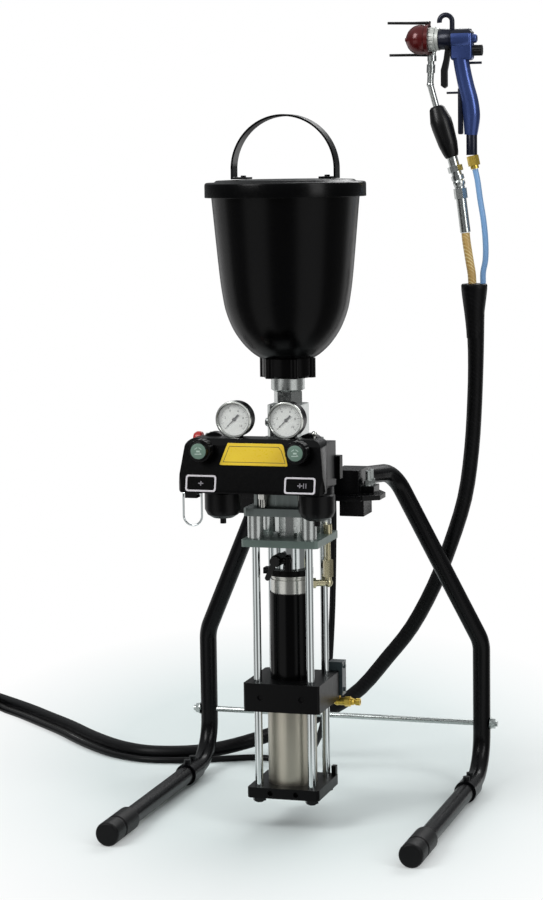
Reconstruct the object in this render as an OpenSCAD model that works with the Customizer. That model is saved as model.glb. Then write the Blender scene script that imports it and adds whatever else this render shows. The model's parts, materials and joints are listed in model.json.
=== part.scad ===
// Airless paint sprayer: air-driven pump on a bent-tube stand, with hopper, console and spray gun.
// Millimetres. +Z up, the console faces -Y, +X is the side that the gun hangs on. Floor at z = 0.

/* [Stand] */
// Outside diameter of the bent stand tube
tube_d = 28; // [24:1:32]
// Half of the distance between the two feet
foot_x = 230; // [220:1:245]
// Distance from the origin to the front face of the foot caps
foot_front = 252; // [240:1:256]
// Distance from the origin back to the axis of the uprights
upright_y = 238; // [225:1:240]
// Radius of the bend at the back of each foot
heel_r = 65; // [50:1:75]
// Height at which the uprights start to lean inward
knee_z = 232; // [225:1:245]
// Diameter of the foot caps
cap_d = 37; // [36:1:44]
// Length of the foot caps
cap_len = 97; // [60:1:120]
// Diameter of the rod that ties the two uprights together
cross_rod_d = 9; // [8:1:12]
// Height of the cross rod
cross_rod_z = 100; // [92:1:150]
// Thickness of the plate that carries the pump on the stand
bracket_t = 8; // [6:1:12]

/* [Pump] */
// Distance from the origin forward to the pump axis
pump_front = 55; // [50:1:60]
// Height of the underside of the pump over the floor
pump_z = 50; // [40:1:60]
// Width of the bottom plate
base_w = 112; // [106:1:114]
// Thickness of the bottom plate
base_t = 16; // [12:1:18]
// Diameter of the four tie rods
rod_d = 12; // [10:1:13]
// Distance between neighbouring tie rods
rod_pitch = 82; // [80:1:88]
// Outside diameter of the air motor's cylinder
air_d = 74; // [66:1:76]
// Height of the air motor's cylinder
air_h = 117; // [110:1:130]
// Wall of the air motor's cylinder
air_wall = 3; // [2:0.5:5]
// Width of the valve block
valve_w = 118; // [114:1:122]
// Height of the valve block
valve_h = 43; // [38:1:48]
// Outside diameter of the black cylinder
mid_d = 64; // [58:1:66]
// Height of the black cylinder
mid_h = 131; // [120:1:140]
// Diameter of the silver head on the black cylinder
head_d = 59; // [54:1:62]
// Height of the silver head
head_h = 27; // [20:1:34]
// Diameter of the clamp ring
ring_d = 69; // [65:1:70]
// Height of the clamp ring
ring_h = 9; // [6:1:12]
// Diameter of the polished cylinder
inner_d = 51; // [44:1:54]
// Height of the polished cylinder
inner_h = 39; // [36:1:48]
// Thickness of the upper plate
upper_t = 11; // [8:1:14]
// Diameter of the columns over the upper plate
spacer_d = 24; // [18:1:26]
// Height of the columns over the upper plate
spacer_h = 35; // [30:1:40]
// Diameter of the pump's piston rod
piston_rod_d = 18; // [14:1:22]
// Stroke of the air piston
stroke = 60; // [40:1:75]
// Width of the stainless fluid block
fluid_w = 90; // [86:1:92]
// Height of the stainless fluid block
fluid_h = 110; // [104:1:116]
// Width of the inlet block
inlet_w = 52; // [44:1:58]
// Height of the inlet block
inlet_h = 55; // [50:1:64]

/* [Hopper] */
// Height of the hopper from its neck to its rim
bowl_h = 256; // [240:1:270]
// Wall of the hopper
bowl_wall = 3; // [2:0.5:5]
// Outside diameter of the lid
lid_d = 239; // [234:1:250]
// How far the lid stands out past the hopper's side
lid_out = 8; // [7:0.5:10]
// Height of the lid's skirt
lid_h = 22; // [18:1:28]
// Outer width of the lid's strap handle
strap_w = 161; // [140:1:170]
// Height of the strap handle over the lid
strap_h = 95; // [86:1:106]
// Diameter of the union nut under the hopper
union_d = 86; // [80:1:92]
// Height of the union nut
union_h = 29; // [24:1:34]

/* [Console] */
// Width of the console at its bottom edge
console_w = 220; // [200:1:236]
// Width of the console at its top edge
console_top_w = 204; // [180:1:214]
// Height of the console's front face
console_h = 77; // [74:1:84]
// Depth of the console
console_d = 58; // [50:1:62]
// Wall of the console
console_wall = 3; // [2:0.5:4]
// Lean of the console's front face, in degrees
console_tilt = 12; // [8:1:14]
// Distance between the two regulator knobs
knob_pitch = 144; // [138:1:150]
// Diameter of a regulator knob
knob_d = 28; // [24:1:32]
// Distance between the two gauges
gauge_pitch = 78; // [70:1:86]
// Diameter of a gauge case
gauge_d = 54; // [48:1:58]
// Diameter of the stop button
button_d = 20; // [16:1:22]
// Diameter of a regulator's bowl
bowl_reg_d = 54; // [46:1:58]

/* [Gun] */
// Thickness of the gun's body
gun_t = 24; // [20:1:26]
// Diameter of the air cap
air_cap_d = 46; // [42:1:50]
// Diameter of the filter grip at its widest
grip_d = 34; // [28:1:36]

/* [Hoses] */
// Outside diameter of the sleeve around the hoses
sleeve_d = 24; // [22:1:26]
// Outside diameter of the fluid hose
fluid_hose_d = 13; // [10:1:14]
// Outside diameter of the gun's air hose
air_hose_d = 9; // [8:1:10]
// Outside diameter of the lead hose
lead_hose_d = 10; // [8:1:11]

/* [Hidden] */
$fn = 48;
gap = 0.3;
seat = 0.15;
pump_y = -pump_front;
rod_xy = rod_pitch / 2;
air_z = pump_z + base_t;
valve_z = air_z + air_h;
mid_z = valve_z + valve_h;
head_z = mid_z + mid_h;
ring_z = head_z + head_h;
inner_z = ring_z + ring_h;
upper_z = inner_z + inner_h;
deck_z = upper_z + upper_t;
fluid_z = deck_z + spacer_h;
inlet_z = fluid_z + fluid_h;
neck_z = inlet_z + inlet_h;

// Leg centre line: front of the foot, heel, knee, shoulder, front of the arch, end in the clamp.
foot_z = cap_d / 2;
cap_back = cap_len - foot_front;
clamp_x = 73;
clamp_z = fluid_z + 38;
shoulder = [100, upright_y - 52, clamp_z - 6];
arch_front = [clamp_x, 84, clamp_z];
tube_r = tube_d / 2;
LEG = [
    [foot_x, 4 - foot_front, foot_z],
    [foot_x, upright_y, foot_z],
    [foot_x, upright_y, knee_z],
    shoulder,
    arch_front,
    [clamp_x, 6, clamp_z]
];
LEG_BENDS = [0, heel_r, 58, 46, 60, 0];

function unit(v) = v / norm(v);
function leg_side(s) = [for (p = LEG) [s * p[0], p[1], p[2]]];
function cut_back(pts, bends, i) =
    bends[i] == 0 ? 0 : bends[i] / tan(bend_angle(pts, i) / 2);
function bend_angle(pts, i) = acos(unit(pts[i - 1] - pts[i]) * unit(pts[i + 1] - pts[i]));

// Places children so that their Z axis runs from a towards b.
module aim(a, b) {
    d = b - a;
    translate(a)
        rotate([0, acos(d[2] / norm(d)), atan2(d[1], d[0])])
            children();
}

module bar(a, b, r) {
    aim(a, b) cylinder(h = norm(b - a), r = r);
}

// One bend of a tube at the corner p, coming from a and going on to b.
module elbow(p, a, b, bend, r) {
    u = unit(a - p);
    v = unit(b - p);
    ang = acos(u * v);
    c = p + unit(u + v) * bend / sin(ang / 2);
    x = unit(p + u * bend / tan(ang / 2) - c);
    z = unit(cross(x, p + v * bend / tan(ang / 2) - c));
    y = cross(z, x);
    multmatrix([
        [x[0], y[0], z[0], c[0]],
        [x[1], y[1], z[1], c[1]],
        [x[2], y[2], z[2], c[2]],
        [0, 0, 0, 1]
    ])
        rotate_extrude(angle = 180 - ang) translate([bend, 0]) circle(r = r);
}

module bent_tube(pts, bends, r) {
    last = len(pts) - 1;
    for (i = [0 : last - 1]) {
        u = unit(pts[i + 1] - pts[i]);
        bar(pts[i] + u * cut_back(pts, bends, i), pts[i + 1] - u * cut_back(pts, bends, i + 1), r);
    }
    for (i = [1 : last - 1])
        elbow(pts[i], pts[i - 1], pts[i + 1], bends[i], r);
}

// Points round one bend of a line, from the straight before it to the straight after it.
function bend_points(p, a, b, bend, n) =
    let (
        u = unit(a - p), v = unit(b - p), ang = acos(u * v),
        c = p + unit(u + v) * bend / sin(ang / 2),
        x = unit(p + u * bend / tan(ang / 2) - c),
        z = unit(cross(x, p + v * bend / tan(ang / 2) - c)),
        y = cross(z, x)
    )
    [for (k = [0 : n]) let (t = (180 - ang) * k / n) c + bend * (cos(t) * x + sin(t) * y)];
function leg_line(p) = [
    for (i = [0 : len(p) - 1]) for (q = LEG_BENDS[i] == 0 ? [p[i]]
        : bend_points(p[i], p[i - 1], p[i + 1], LEG_BENDS[i], ceil((180 - bend_angle(p, i)) / 11))) q
];

module leg(s) {
    line = leg_line(leg_side(s));
    color("#1b1c1e")
        difference() {
            swept(line, [for (q = line) tube_r], 20);
            translate([s * foot_x, upright_y, cross_rod_z]) rotate([0, 90, 0])
                cylinder(h = tube_d * 2, d = cross_rod_d + 2 * seat, center = true);
        }
}

module left_leg() { leg(-1); }

module right_leg() { leg(1); }

// Moulded foot caps: a domed front, a ribbed grip length and a recess that the tube fills.
module foot_caps() {
    color("#101113")
        for (s = [-1, 1])
            translate([s * foot_x, -foot_front, foot_z]) rotate([-90, 0, 0])
                difference() {
                    rotate_extrude()
                        polygon([
                            [0, 0], [cap_d / 2 - 5, 0], [cap_d / 2 - 1.5, 1.5], [cap_d / 2, 5],
                            [cap_d / 2, 34], [cap_d / 2 - 1.5, 36], [cap_d / 2 - 1.5, 40],
                            [cap_d / 2, 42], [cap_d / 2, cap_len - 4], [cap_d / 2 - 2, cap_len], [0, cap_len]
                        ]);
                    translate([0, 0, 4 - seat]) cylinder(h = cap_len, r = tube_r + seat);
                }
}

// Collars where the feet plug into the bent uprights, with their two clamp screws.
collar_y = upright_y - heel_r - 62;
module foot_collars() {
    color("#17181a")
        for (s = [-1, 1])
            translate([s * foot_x, collar_y, foot_z]) rotate([-90, 0, 0])
                difference() {
                    union() {
                        cylinder(h = 46, r = tube_r + 3.5);
                        for (y = [10, 36])
                            translate([0, -tube_r - 2, y]) rotate([90, 0, 0])
                                cylinder(h = 7, r = 5.5);
                    }
                    translate([0, 0, -1]) cylinder(h = 48, r = tube_r + seat);
                }
}

// Tie rod between the uprights, with a nut and a washer outside each tube.
module cross_rod() {
    color("#9a9c9c") {
        translate([0, upright_y, cross_rod_z]) rotate([0, 90, 0])
            cylinder(h = 2 * (foot_x + 26), d = cross_rod_d, center = true);
        for (s = [-1, 1])
            translate([s * (foot_x + tube_r + seat), upright_y, cross_rod_z]) rotate([0, s * 90, 0]) {
                cylinder(h = 1.6, d = cross_rod_d + 10);
                translate([0, 0, 1.6]) cylinder(h = 6.5, d = cross_rod_d + 7, $fn = 6);
            }
    }
}

// Mounting plate on the fluid block's flange, with the two tube clamps and their pads.
flange_t = 12;
flange_w = base_w;
block_y = 80;
plate_y = pump_y + block_y / 2;
plate_z = fluid_z + flange_t;
plate_top = plate_z + bracket_t;
plate_back = 72;
lug_h = 12;
module stand_bracket() {
    color("#202124")
        difference() {
            union() {
                translate([0, 0, plate_z]) linear_extrude(bracket_t)
                    polygon([
                        [-124, 8], [-100, plate_y + 8], [-100, plate_y], [100, plate_y], [100, plate_y + 8],
                        [124, 8], [124, 42], [106, plate_back], [-106, plate_back], [-124, 42]
                    ]);
                for (s = [-1, 1]) {
                    translate([s * clamp_x - 19, 2, plate_top])
                        cube([38, 58, clamp_z + tube_r + 5 - plate_top]);
                    translate([s * (clamp_x + 27) - 13, 14, plate_top])
                        cube([26, 34, lug_h]);
                    translate([s * (clamp_x + 8) - 19, flange_w / 2 + pump_y + gap, fluid_z - 13])
                        cube([38, 50, plate_z - fluid_z + 13]);
                }
            }
            for (s = [-1, 1])
                translate([s * clamp_x, 5, clamp_z]) rotate([-90, 0, 0])
                    cylinder(h = 90, r = tube_r + seat);
        }
}

// Clamp studs with nuts, and the screws that hold the plate down on the flange.
module bracket_bolts() {
    color("#b9bab8") {
        for (s = [-1, 1])
            for (y = [22, 40])
                translate([s * (clamp_x + 29), y, plate_top + lug_h]) {
                    cylinder(h = 1.5, r = 7);
                    translate([0, 0, 1.5]) cylinder(h = 7, r = 6.4, $fn = 6);
                    translate([0, 0, 8.5]) cylinder(h = 14, r = 3.9);
                }
        for (x = [-38, -13, 13, 38])
            translate([x, plate_y + 8, plate_top]) difference() {
                cylinder(h = 6, r = 5);
                translate([0, 0, 2.5]) cylinder(h = 5, r = 2.6, $fn = 6);
            }
    }
}

// Positions of the four tie rods around the pump axis.
module at_rods(z) {
    for (x = [-1, 1])
        for (y = [-1, 1])
            translate([x * rod_xy, pump_y + y * rod_xy, z]) children();
}

module rod_holes(z, h) {
    at_rods(z - 1) cylinder(h = h + 2, d = rod_d + 2 * seat);
}

// A square plate with chamfered upright corners, centred on the pump axis.
module plate(w, d, h, z, c) {
    translate([0, pump_y, z]) linear_extrude(h)
        polygon([
            [c - w / 2, -d / 2], [w / 2 - c, -d / 2], [w / 2, c - d / 2], [w / 2, d / 2 - c],
            [w / 2 - c, d / 2], [c - w / 2, d / 2], [-w / 2, d / 2 - c], [-w / 2, c - d / 2]
        ]);
}

module on_axis(z) {
    translate([0, pump_y, z]) children();
}

module base_plate() {
    color("#141517")
        difference() {
            union() {
                plate(base_w, base_w, base_t, pump_z, 4);
                translate([base_w / 2 - 8, pump_y + rod_xy + 3, air_z]) cube([7, 10, 14]);
            }
            rod_holes(pump_z, base_t);
            on_axis(air_z - 3) difference() {
                cylinder(h = 4, d = air_d + 2 * seat);
                translate([0, 0, -1]) cylinder(h = 6, d = air_d - 2 * air_wall - 2 * seat);
            }
            for (x = [-20, 20])
                translate([x, pump_y - base_w / 2 - 1, pump_z + base_t / 2]) rotate([-90, 0, 0])
                    cylinder(h = 9, r = 4);
        }
}

rod_top = deck_z + 16;
module tie_rods() {
    color("#d7d9da") {
        at_rods(pump_z - 9) cylinder(h = rod_top - pump_z + 9, d = rod_d);
        at_rods(pump_z - 7) difference() {
            cylinder(h = 7, r = rod_d * 0.85, $fn = 6);
            translate([0, 0, -1]) cylinder(h = 9, d = rod_d - 0.01);
        }
    }
}

module air_cylinder() {
    color("#b9b3a4")
        on_axis(air_z - 3 + seat) difference() {
            cylinder(h = air_h + 6 - 2 * seat, d = air_d);
            translate([0, 0, -1]) cylinder(h = air_h + 8, d = air_d - 2 * air_wall);
        }
}

// Air piston with its two seal grooves, and the rod that drives the fluid pump.
piston_t = 20;
run = 0.06;
module air_piston() {
    color("#8d9092")
        on_axis(air_z + 2) {
            difference() {
                cylinder(h = piston_t, r = air_d / 2 - air_wall - gap);
                for (z = [5, 12])
                    translate([0, 0, z]) difference() {
                        cylinder(h = 3, d = air_d);
                        translate([0, 0, -1]) cylinder(h = 5, r = air_d / 2 - air_wall - 3);
                    }
            }
            cylinder(h = mid_z + 34 - air_z, d = piston_rod_d);
        }
}

module valve_block() {
    color("#121315")
        difference() {
            plate(valve_w, valve_w, valve_h, valve_z, 3);
            rod_holes(valve_z, valve_h);
            on_axis(valve_z - 1) cylinder(h = valve_h + 2, d = piston_rod_d + 2 * run);
            on_axis(valve_z - 1) difference() {
                cylinder(h = 4, d = air_d + 2 * seat);
                translate([0, 0, -1]) cylinder(h = 6, d = air_d - 2 * air_wall - 2 * seat);
            }
            on_axis(mid_z - 3) difference() {
                cylinder(h = 4, d = mid_d + 2 * seat);
                translate([0, 0, -1]) cylinder(h = 6, d = mid_d - 8 - 2 * seat);
            }
            for (x = [-32, 32])
                translate([x, pump_y - valve_w / 2 - 1, valve_z + valve_h / 2]) rotate([-90, 0, 0])
                    cylinder(h = 4, r = 5);
        }
}

// Pilot valve box behind the valve block, with its cover screws.
pilot_x = 52;
pilot_y = pump_y + valve_w / 2;
module pilot_box() {
    color("#2c3135") {
        difference() {
            translate([pilot_x - 11, pilot_y, valve_z + 4]) cube([22, 22, 52]);
            translate([pilot_x, pilot_y + 11, valve_z + 3]) cylinder(h = 12, r = 5 + seat);
        }
        for (z = [12, 48])
            translate([pilot_x + 11, pilot_y + 11, valve_z + z]) rotate([0, 90, 0]) cylinder(h = 2.4, r = 3.2);
    }
}

// Elbow under the pilot box and the brass nipple where the air supply is plugged in.
nipple_r = 5.5;
module air_inlet() {
    ez = valve_z - 7;
    color("#c59a3c") {
        translate([pilot_x, pilot_y + 11, ez]) cylinder(h = 21, r = 5);
        translate([pilot_x, pilot_y + 11, ez]) sphere(r = 6.5);
        translate([pilot_x, pilot_y + 11, ez]) rotate([0, 90, 0]) {
            cylinder(h = 12, r = 6);
            translate([0, 0, 12]) cylinder(h = 9, r = 8, $fn = 6);
            translate([0, 0, 21]) difference() {
                rotate_extrude()
                    polygon([
                        [0, 0], [nipple_r, 0], [nipple_r, 4], [4.2, 5.5], [4.2, 7], [nipple_r, 8.5],
                        [nipple_r, 15], [0, 15]
                    ]);
                translate([0, 0, 3]) cylinder(h = 13, r = 3);
            }
        }
    }
}

module hydraulic_cylinder() {
    color("#0e0e10")
        on_axis(mid_z - 3 + seat) difference() {
            cylinder(h = mid_h + 3 - seat, d = mid_d);
            translate([0, 0, -1]) cylinder(h = mid_h - 10, d = mid_d - 8);
        }
}

module cylinder_head() {
    color("#c6c8c6")
        on_axis(head_z) difference() {
            rotate_extrude()
                polygon([
                    [0, 0], [head_d / 2, 0], [head_d / 2, head_h - 7], [head_d / 2 - 1.5, head_h - 6],
                    [head_d / 2 - 1.5, head_h - 4], [head_d / 2, head_h - 3], [head_d / 2, head_h], [0, head_h]
                ]);
            rotate([0, 0, atan2(side_y - pump_y, side_x)]) translate([head_d / 2 - 9, 0, side_z - head_z])
                rotate([0, 90, 0]) cylinder(h = 20, r = 5 + seat);
        }
}

// Split clamp ring with its ears and screw.
module clamp_ring() {
    color("#17181a")
        on_axis(ring_z) difference() {
            union() {
                cylinder(h = ring_h, d = ring_d);
                translate([-ring_d / 2 - 6, -8, 0]) cube([14, 16, ring_h]);
            }
            translate([-ring_d / 2 - 7, -1.2, -1]) cube([15, 2.4, ring_h + 2]);
            translate([-ring_d / 2 - 2, 9, ring_h / 2]) rotate([90, 0, 0]) cylinder(h = 18, r = 2.2);
        }
}

module inner_cylinder() {
    color("#d9dbdc")
        on_axis(inner_z) cylinder(h = inner_h, d = inner_d);
}

module upper_plate() {
    color("#5d6a66")
        difference() {
            plate(valve_w, valve_w, upper_t, upper_z, 4);
            rod_holes(upper_z, upper_t);
            translate([side_x, side_y, upper_z - 1]) cylinder(h = upper_t + 2, r = 4 + seat);
        }
}

// Sleeves over the rod ends, and the rod guides between the upper plate and the fluid block.
module spacer_columns() {
    color("#cfd1d2") {
        at_rods(deck_z) difference() {
            cylinder(h = spacer_h, d = spacer_d);
            translate([0, 0, -1]) cylinder(h = rod_top - deck_z + 2, d = rod_d + 2 * seat);
        }
        on_axis(deck_z) {
            cylinder(h = 6, d = inner_d);
            cylinder(h = spacer_h, d = inner_d - 6, $fn = 12);
        }
    }
}

module fluid_block() {
    color("#c3c6c6")
        difference() {
            union() {
                plate(flange_w, flange_w, flange_t, fluid_z, 5);
                plate(fluid_w, block_y, fluid_h - flange_t, fluid_z + flange_t, 6);
                on_axis(inlet_z - 0.01) cylinder(h = 3, r = inlet_w / 2 + 6);
            }
            translate([20, plate_y - 12, fluid_z + 62]) rotate([-90, 0, 0]) cylinder(h = 20, r = 8 + seat);
            for (x = [-28, 28])
                translate([x, pump_y - block_y / 2 - 1, fluid_z + 88]) rotate([-90, 0, 0])
                    cylinder(h = 7, r = 5);
        }
}

// Stepped inlet housing: block, hexagon and collar under the hopper's union nut.
module inlet_block() {
    zb = inlet_z + 3;
    color("#cdd0cf") {
        plate(inlet_w, inlet_w, neck_z - zb - 2, zb, 5);
        on_axis(neck_z - 2) cylinder(h = 19, d = 41 / 0.94, $fn = 6);
        on_axis(neck_z + 17) rotate_extrude()
            polygon([[0, 0], [19, 0], [25, 3], [25, union_z - neck_z - 17], [0, union_z - neck_z - 17]]);
        on_axis(zb + 22) rotate([0, -90, 0]) {
            cylinder(h = inlet_w / 2 + 5, r = 9);
            cylinder(h = inlet_w / 2 + 9, r = 6, $fn = 6);
        }
    }
}

// Fluid outlet at the back of the block: adaptor, hexagon and the spigot that the lead hose sits on.
out_x = 20;
out_z = fluid_z + 62;
out_end = plate_y + 46;
module outlet_fitting() {
    color("#b4b6b2")
        translate([out_x, plate_y - 11, out_z]) rotate([-90, 0, 0]) {
            cylinder(h = 12, r = 8);
            translate([0, 0, 11]) cylinder(h = 12, r = 12.5, $fn = 6);
            translate([0, 0, 22]) cylinder(h = 10, r = 7);
            translate([0, 0, 31]) cylinder(h = 14, r = 9.5, $fn = 6);
            translate([0, 0, 44]) cylinder(h = out_end - plate_y + 11 - 44, r = lead_hose_d / 2 + 1.5);
        }
}

// Return pipe beside the column: elbow in the head, hexagon adaptor, thin tube and a nut on the plate.
side_x = 52;
side_y = pump_y + 25;
side_z = head_z + 11;
module side_pipe() {
    dir = atan2(side_y - pump_y, side_x);
    reach = norm([side_x, side_y - pump_y]);
    color("#c9bd98") {
        translate([side_x, side_y, side_z]) sphere(r = 7);
        on_axis(side_z) rotate([0, 0, dir]) {
            translate([head_d / 2 - 8, 0, 0]) rotate([0, 90, 0]) cylinder(h = reach - head_d / 2 + 8, r = 5);
            translate([head_d / 2 + 1, 0, 0]) rotate([0, 90, 0]) cylinder(h = 8, r = 8, $fn = 6);
        }
        translate([side_x, side_y, side_z]) cylinder(h = 12, r = 5);
        translate([side_x, side_y, side_z + 9]) cylinder(h = 26, r = 8, $fn = 6);
        translate([side_x, side_y, side_z + 30]) cylinder(h = deck_z - side_z - 22, r = 4);
        translate([side_x, side_y, deck_z]) cylinder(h = 14, r = 6.5);
    }
}

// Relief valve on the polished cylinder, turned by a cranked lever.
relief_x = -9;
relief_y = pump_y - sqrt(pow(inner_d / 2, 2) - pow(relief_x, 2));
relief_z = inner_z + 17;
lever_y = pump_y - rod_xy - rod_d / 2 - 2.5;
module relief_valve() {
    color("#232526")
        difference() {
            union() {
                translate([relief_x, lever_y + 4, relief_z]) rotate([-90, 0, 0])
                    cylinder(h = relief_y - lever_y + 2, r = 9);
                translate([relief_x + 8, lever_y + 11, relief_z]) rotate([0, 90, 0]) cylinder(h = 14, r = 5);
                translate([relief_x + 17, lever_y + 11, inner_z + 1]) cylinder(h = relief_z - inner_z + 3, r = 5.5);
            }
            on_axis(inner_z - 1) cylinder(h = inner_h + 2, d = inner_d);
            translate([relief_x, lever_y - 1, relief_z]) rotate([-90, 0, 0])
                cylinder(h = 14, r = 4 + run);
        }
}

module relief_lever() {
    color("#0f1011")
        translate([relief_x, lever_y, relief_z]) {
            rotate([-90, 0, 0]) cylinder(h = 12, r = 4);
            rotate([90, 0, 0]) cylinder(h = 4, r = 7.5);
            rotate([0, 24, 0]) {
                translate([-4, -4, -27]) cube([8, 4, 27]);
                translate([0, -4, -27]) rotate([-90, 0, 0]) cylinder(h = 4, r = 4);
            }
        }
}

// Console: a moulded shell, open at the back, with a leaning face and bosses for the knob stems.
knob_x = knob_pitch / 2;
console_x = -5;
shell_z = 529;
knob_z = shell_z + 62;
shell_top = shell_z + console_h;
shell_front = 237;
shell_back = shell_front - console_d;
reg_back = 110;
boss_r = 15;
knob_back = shell_front - tan(console_tilt) * (knob_z - knob_d / 2 - 2.5 - shell_z - 5) + 0.8;
stem_r = 5;

// Points of an arc round c from angle a to angle b.
function arc(c, r, a, b) = [for (i = [0 : 8]) c + r * [cos(a + (b - a) * i / 8), sin(a + (b - a) * i / 8)]];

// Front outline, drawn smaller by t all round.
module front_outline(t) {
    w = console_w / 2 - t;
    v = console_top_w / 2 - t;
    h = console_h - 2 * t;
    translate([0, t])
        polygon(concat(
            arc([-w + 7, 7], 7, 260, 180),
            arc([-v + 14, h - 14], 14, 170, 90),
            arc([v - 14, h - 14], 14, 90, 10),
            arc([w - 7, 7], 7, 0, -80)
        ));
}

module console_form(t) {
    shear = tan(console_tilt);
    intersection() {
        translate([0, -shell_front + t, shell_z]) rotate([90, 0, 0]) translate([0, 0, -console_d - 1])
            linear_extrude(console_d + 1) front_outline(t);
        rotate([90, 0, 90]) translate([0, 0, -console_w])
            linear_extrude(2 * console_w)
                polygon([
                    [-shell_front + t, shell_z - 1], [-shell_front + t, shell_z + 5],
                    [-shell_front + t + shear * (console_h - 14), shell_top - 9],
                    [-shell_front + t + shear * (console_h - 14) + 9, shell_top],
                    [-shell_back + (t > 0 ? 2 : 0), shell_top], [-shell_back + (t > 0 ? 2 : 0), shell_z - 1]
                ]);
        translate([0, 0, shell_z - 2]) linear_extrude(console_h + 4)
            polygon(concat(
                arc([-console_w / 2 + 12 + t, -shell_front + 12 + t], 12, 180, 270),
                arc([console_w / 2 - 12 - t, -shell_front + 12 + t], 12, 270, 360),
                [[console_w / 2 - t - 12, -shell_back + 3], [-console_w / 2 + t + 12, -shell_back + 3]]
            ));
    }
}

module console_shell() {
    color("#17181b")
        translate([console_x, 0, 0]) difference() {
            union() {
                difference() {
                    console_form(0);
                    console_form(console_wall);
                }
                for (s = [-1, 1])
                    translate([s * knob_x, gap - knob_back, knob_z]) rotate([-90, 0, 0])
                        cylinder(h = knob_back - gap - shell_back, r = boss_r - 2);
                translate([hook_x - console_x - 9, hook_y - 8, hook_z - 6]) cube([18, 16, shell_z - hook_z + 7]);
            }
            for (s = [-1, 1])
                translate([s * knob_x, -shell_front - 1, knob_z]) rotate([-90, 0, 0])
                    cylinder(h = console_d + 2, r = stem_r + seat);
            translate([hook_x - console_x - 10, hook_y, hook_z]) rotate([0, 90, 0]) cylinder(h = 20, r = wire_r + run);
        }
}

// Carries something drawn on the XZ plane onto the leaning front face, z measured up the face.
module on_face() {
    translate([0, -shell_front, shell_z + 5]) rotate([-console_tilt, 0, 0]) rotate([90, 0, 0]) children();
}

module round_rect(w, h, r) {
    polygon(concat(
        arc([r - w / 2, r - h / 2], r, 270, 180), arc([r - w / 2, h / 2 - r], r, 180, 90),
        arc([w / 2 - r, h / 2 - r], r, 90, 0), arc([w / 2 - r, r - h / 2], r, 0, -90)
    ));
}

module front_plate() {
    color("#e3c51d")
        on_face() linear_extrude(1)
            polygon(concat(
                arc([-50, 38], 2, 270, 160), arc([-40, 66], 2, 160, 90),
                arc([37, 62], 6, 90, 20), arc([47.5, 38], 2, 10, -90)
            ));
}

module label_frames() {
    color("#d9d6d6")
        on_face() for (s = [-1, 1])
            translate([console_x + s * 74, 9]) linear_extrude(1)
                difference() {
                    round_rect(46, 24, 4);
                    round_rect(41, 19, 2.5);
                }
}

// Pressure regulators behind the console: a valve body with a bonnet in front and a bowl below.
reg_front = shell_back;
reg_z = shell_z;
bowl_reg_h = 50;
reg_w = 42;
reg_h = 65;
module regulator(s) {
    depth = reg_front - reg_back;
    cy = -reg_front + depth / 2 + 4;
    translate([console_x + s * knob_x, 0, 0]) difference() {
        union() {
            translate([-reg_w / 2, -reg_front + 14, reg_z]) cube([reg_w, depth - 14, reg_h]);
            translate([0, -reg_front, knob_z]) rotate([-90, 0, 0]) cylinder(h = 15, r = 20);
            translate([0, cy, reg_z - bowl_reg_h]) rotate_extrude()
                polygon([
                    [0, 0], [bowl_reg_d / 2 - 12, 1], [bowl_reg_d / 2 - 4, 6], [bowl_reg_d / 2, 14],
                    [bowl_reg_d / 2, 38], [bowl_reg_d / 2 - 2, 40], [bowl_reg_d / 2 - 2, bowl_reg_h + 1], [0, bowl_reg_h + 1]
                ]);
            translate([0, cy, reg_z - bowl_reg_h - 8]) cylinder(h = 10, r = 4.5);
        }
        translate([0, -reg_front - 1, knob_z]) rotate([-90, 0, 0]) cylinder(h = 22, r = stem_r + seat);
    }
}

module left_regulator() {
    color("#101114") regulator(-1);
}

module right_regulator() {
    color("#101114") regulator(1);
}

// Air manifold between the regulators and the fluid block.
module console_bracket() {
    front = pump_y - block_y / 2;
    color("#2a2c2e")
        difference() {
            union() {
                translate([-knob_x - 22, -reg_back, reg_z + 8]) cube([2 * knob_x + 44, reg_back + front, 34]);
                for (x = [-30, 30])
                    translate([x, -reg_back, reg_z + 25]) rotate([90, 0, 0]) cylinder(h = 5, r = 7, $fn = 6);
            }
            for (x = [-60, 60])
                translate([x, -reg_back - 1, reg_z + 25]) rotate([-90, 0, 0]) cylinder(h = reg_back + front + 2, r = 4);
        }
}

// Regulator knob: fluted skirt, face recess and the stem that turns in the bonnet.
knob_face = foot_front - 1;
module knob(s) {
    color("#39443f")
        translate([console_x + s * knob_x, -knob_face, knob_z]) rotate([-90, 0, 0]) {
            difference() {
                union() {
                    cylinder(h = 5, d1 = knob_d - 3, d2 = knob_d);
                    translate([0, 0, 5]) cylinder(h = knob_face - 5 - knob_back, d = knob_d + 5);
                }
                translate([0, 0, -1]) cylinder(h = 2.2, r = knob_d / 2 - 5);
                for (a = [0 : 30 : 330])
                    rotate([0, 0, a]) translate([knob_d / 2 + 4, 0, 5]) cylinder(h = 30, r = 2.4);
            }
            translate([0, 0, 4]) cylinder(h = knob_face - reg_front + 14, r = stem_r);
        }
}

module left_knob() { knob(-1); }

module right_knob() { knob(1); }

// Gauges on the console's top: case with a bezel, neck and hexagon.
gauge_x = gauge_pitch / 2;
gauge_y = -190;
gauge_z = shell_top + gauge_d / 2 - 1;
gauge_depth = 27;
gauge_front = gauge_y - gauge_depth / 2;
module at_gauges() {
    for (s = [-1, 1])
        translate([s * gauge_x, gauge_front, gauge_z]) rotate([-90, 0, 0]) children();
}

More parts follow.
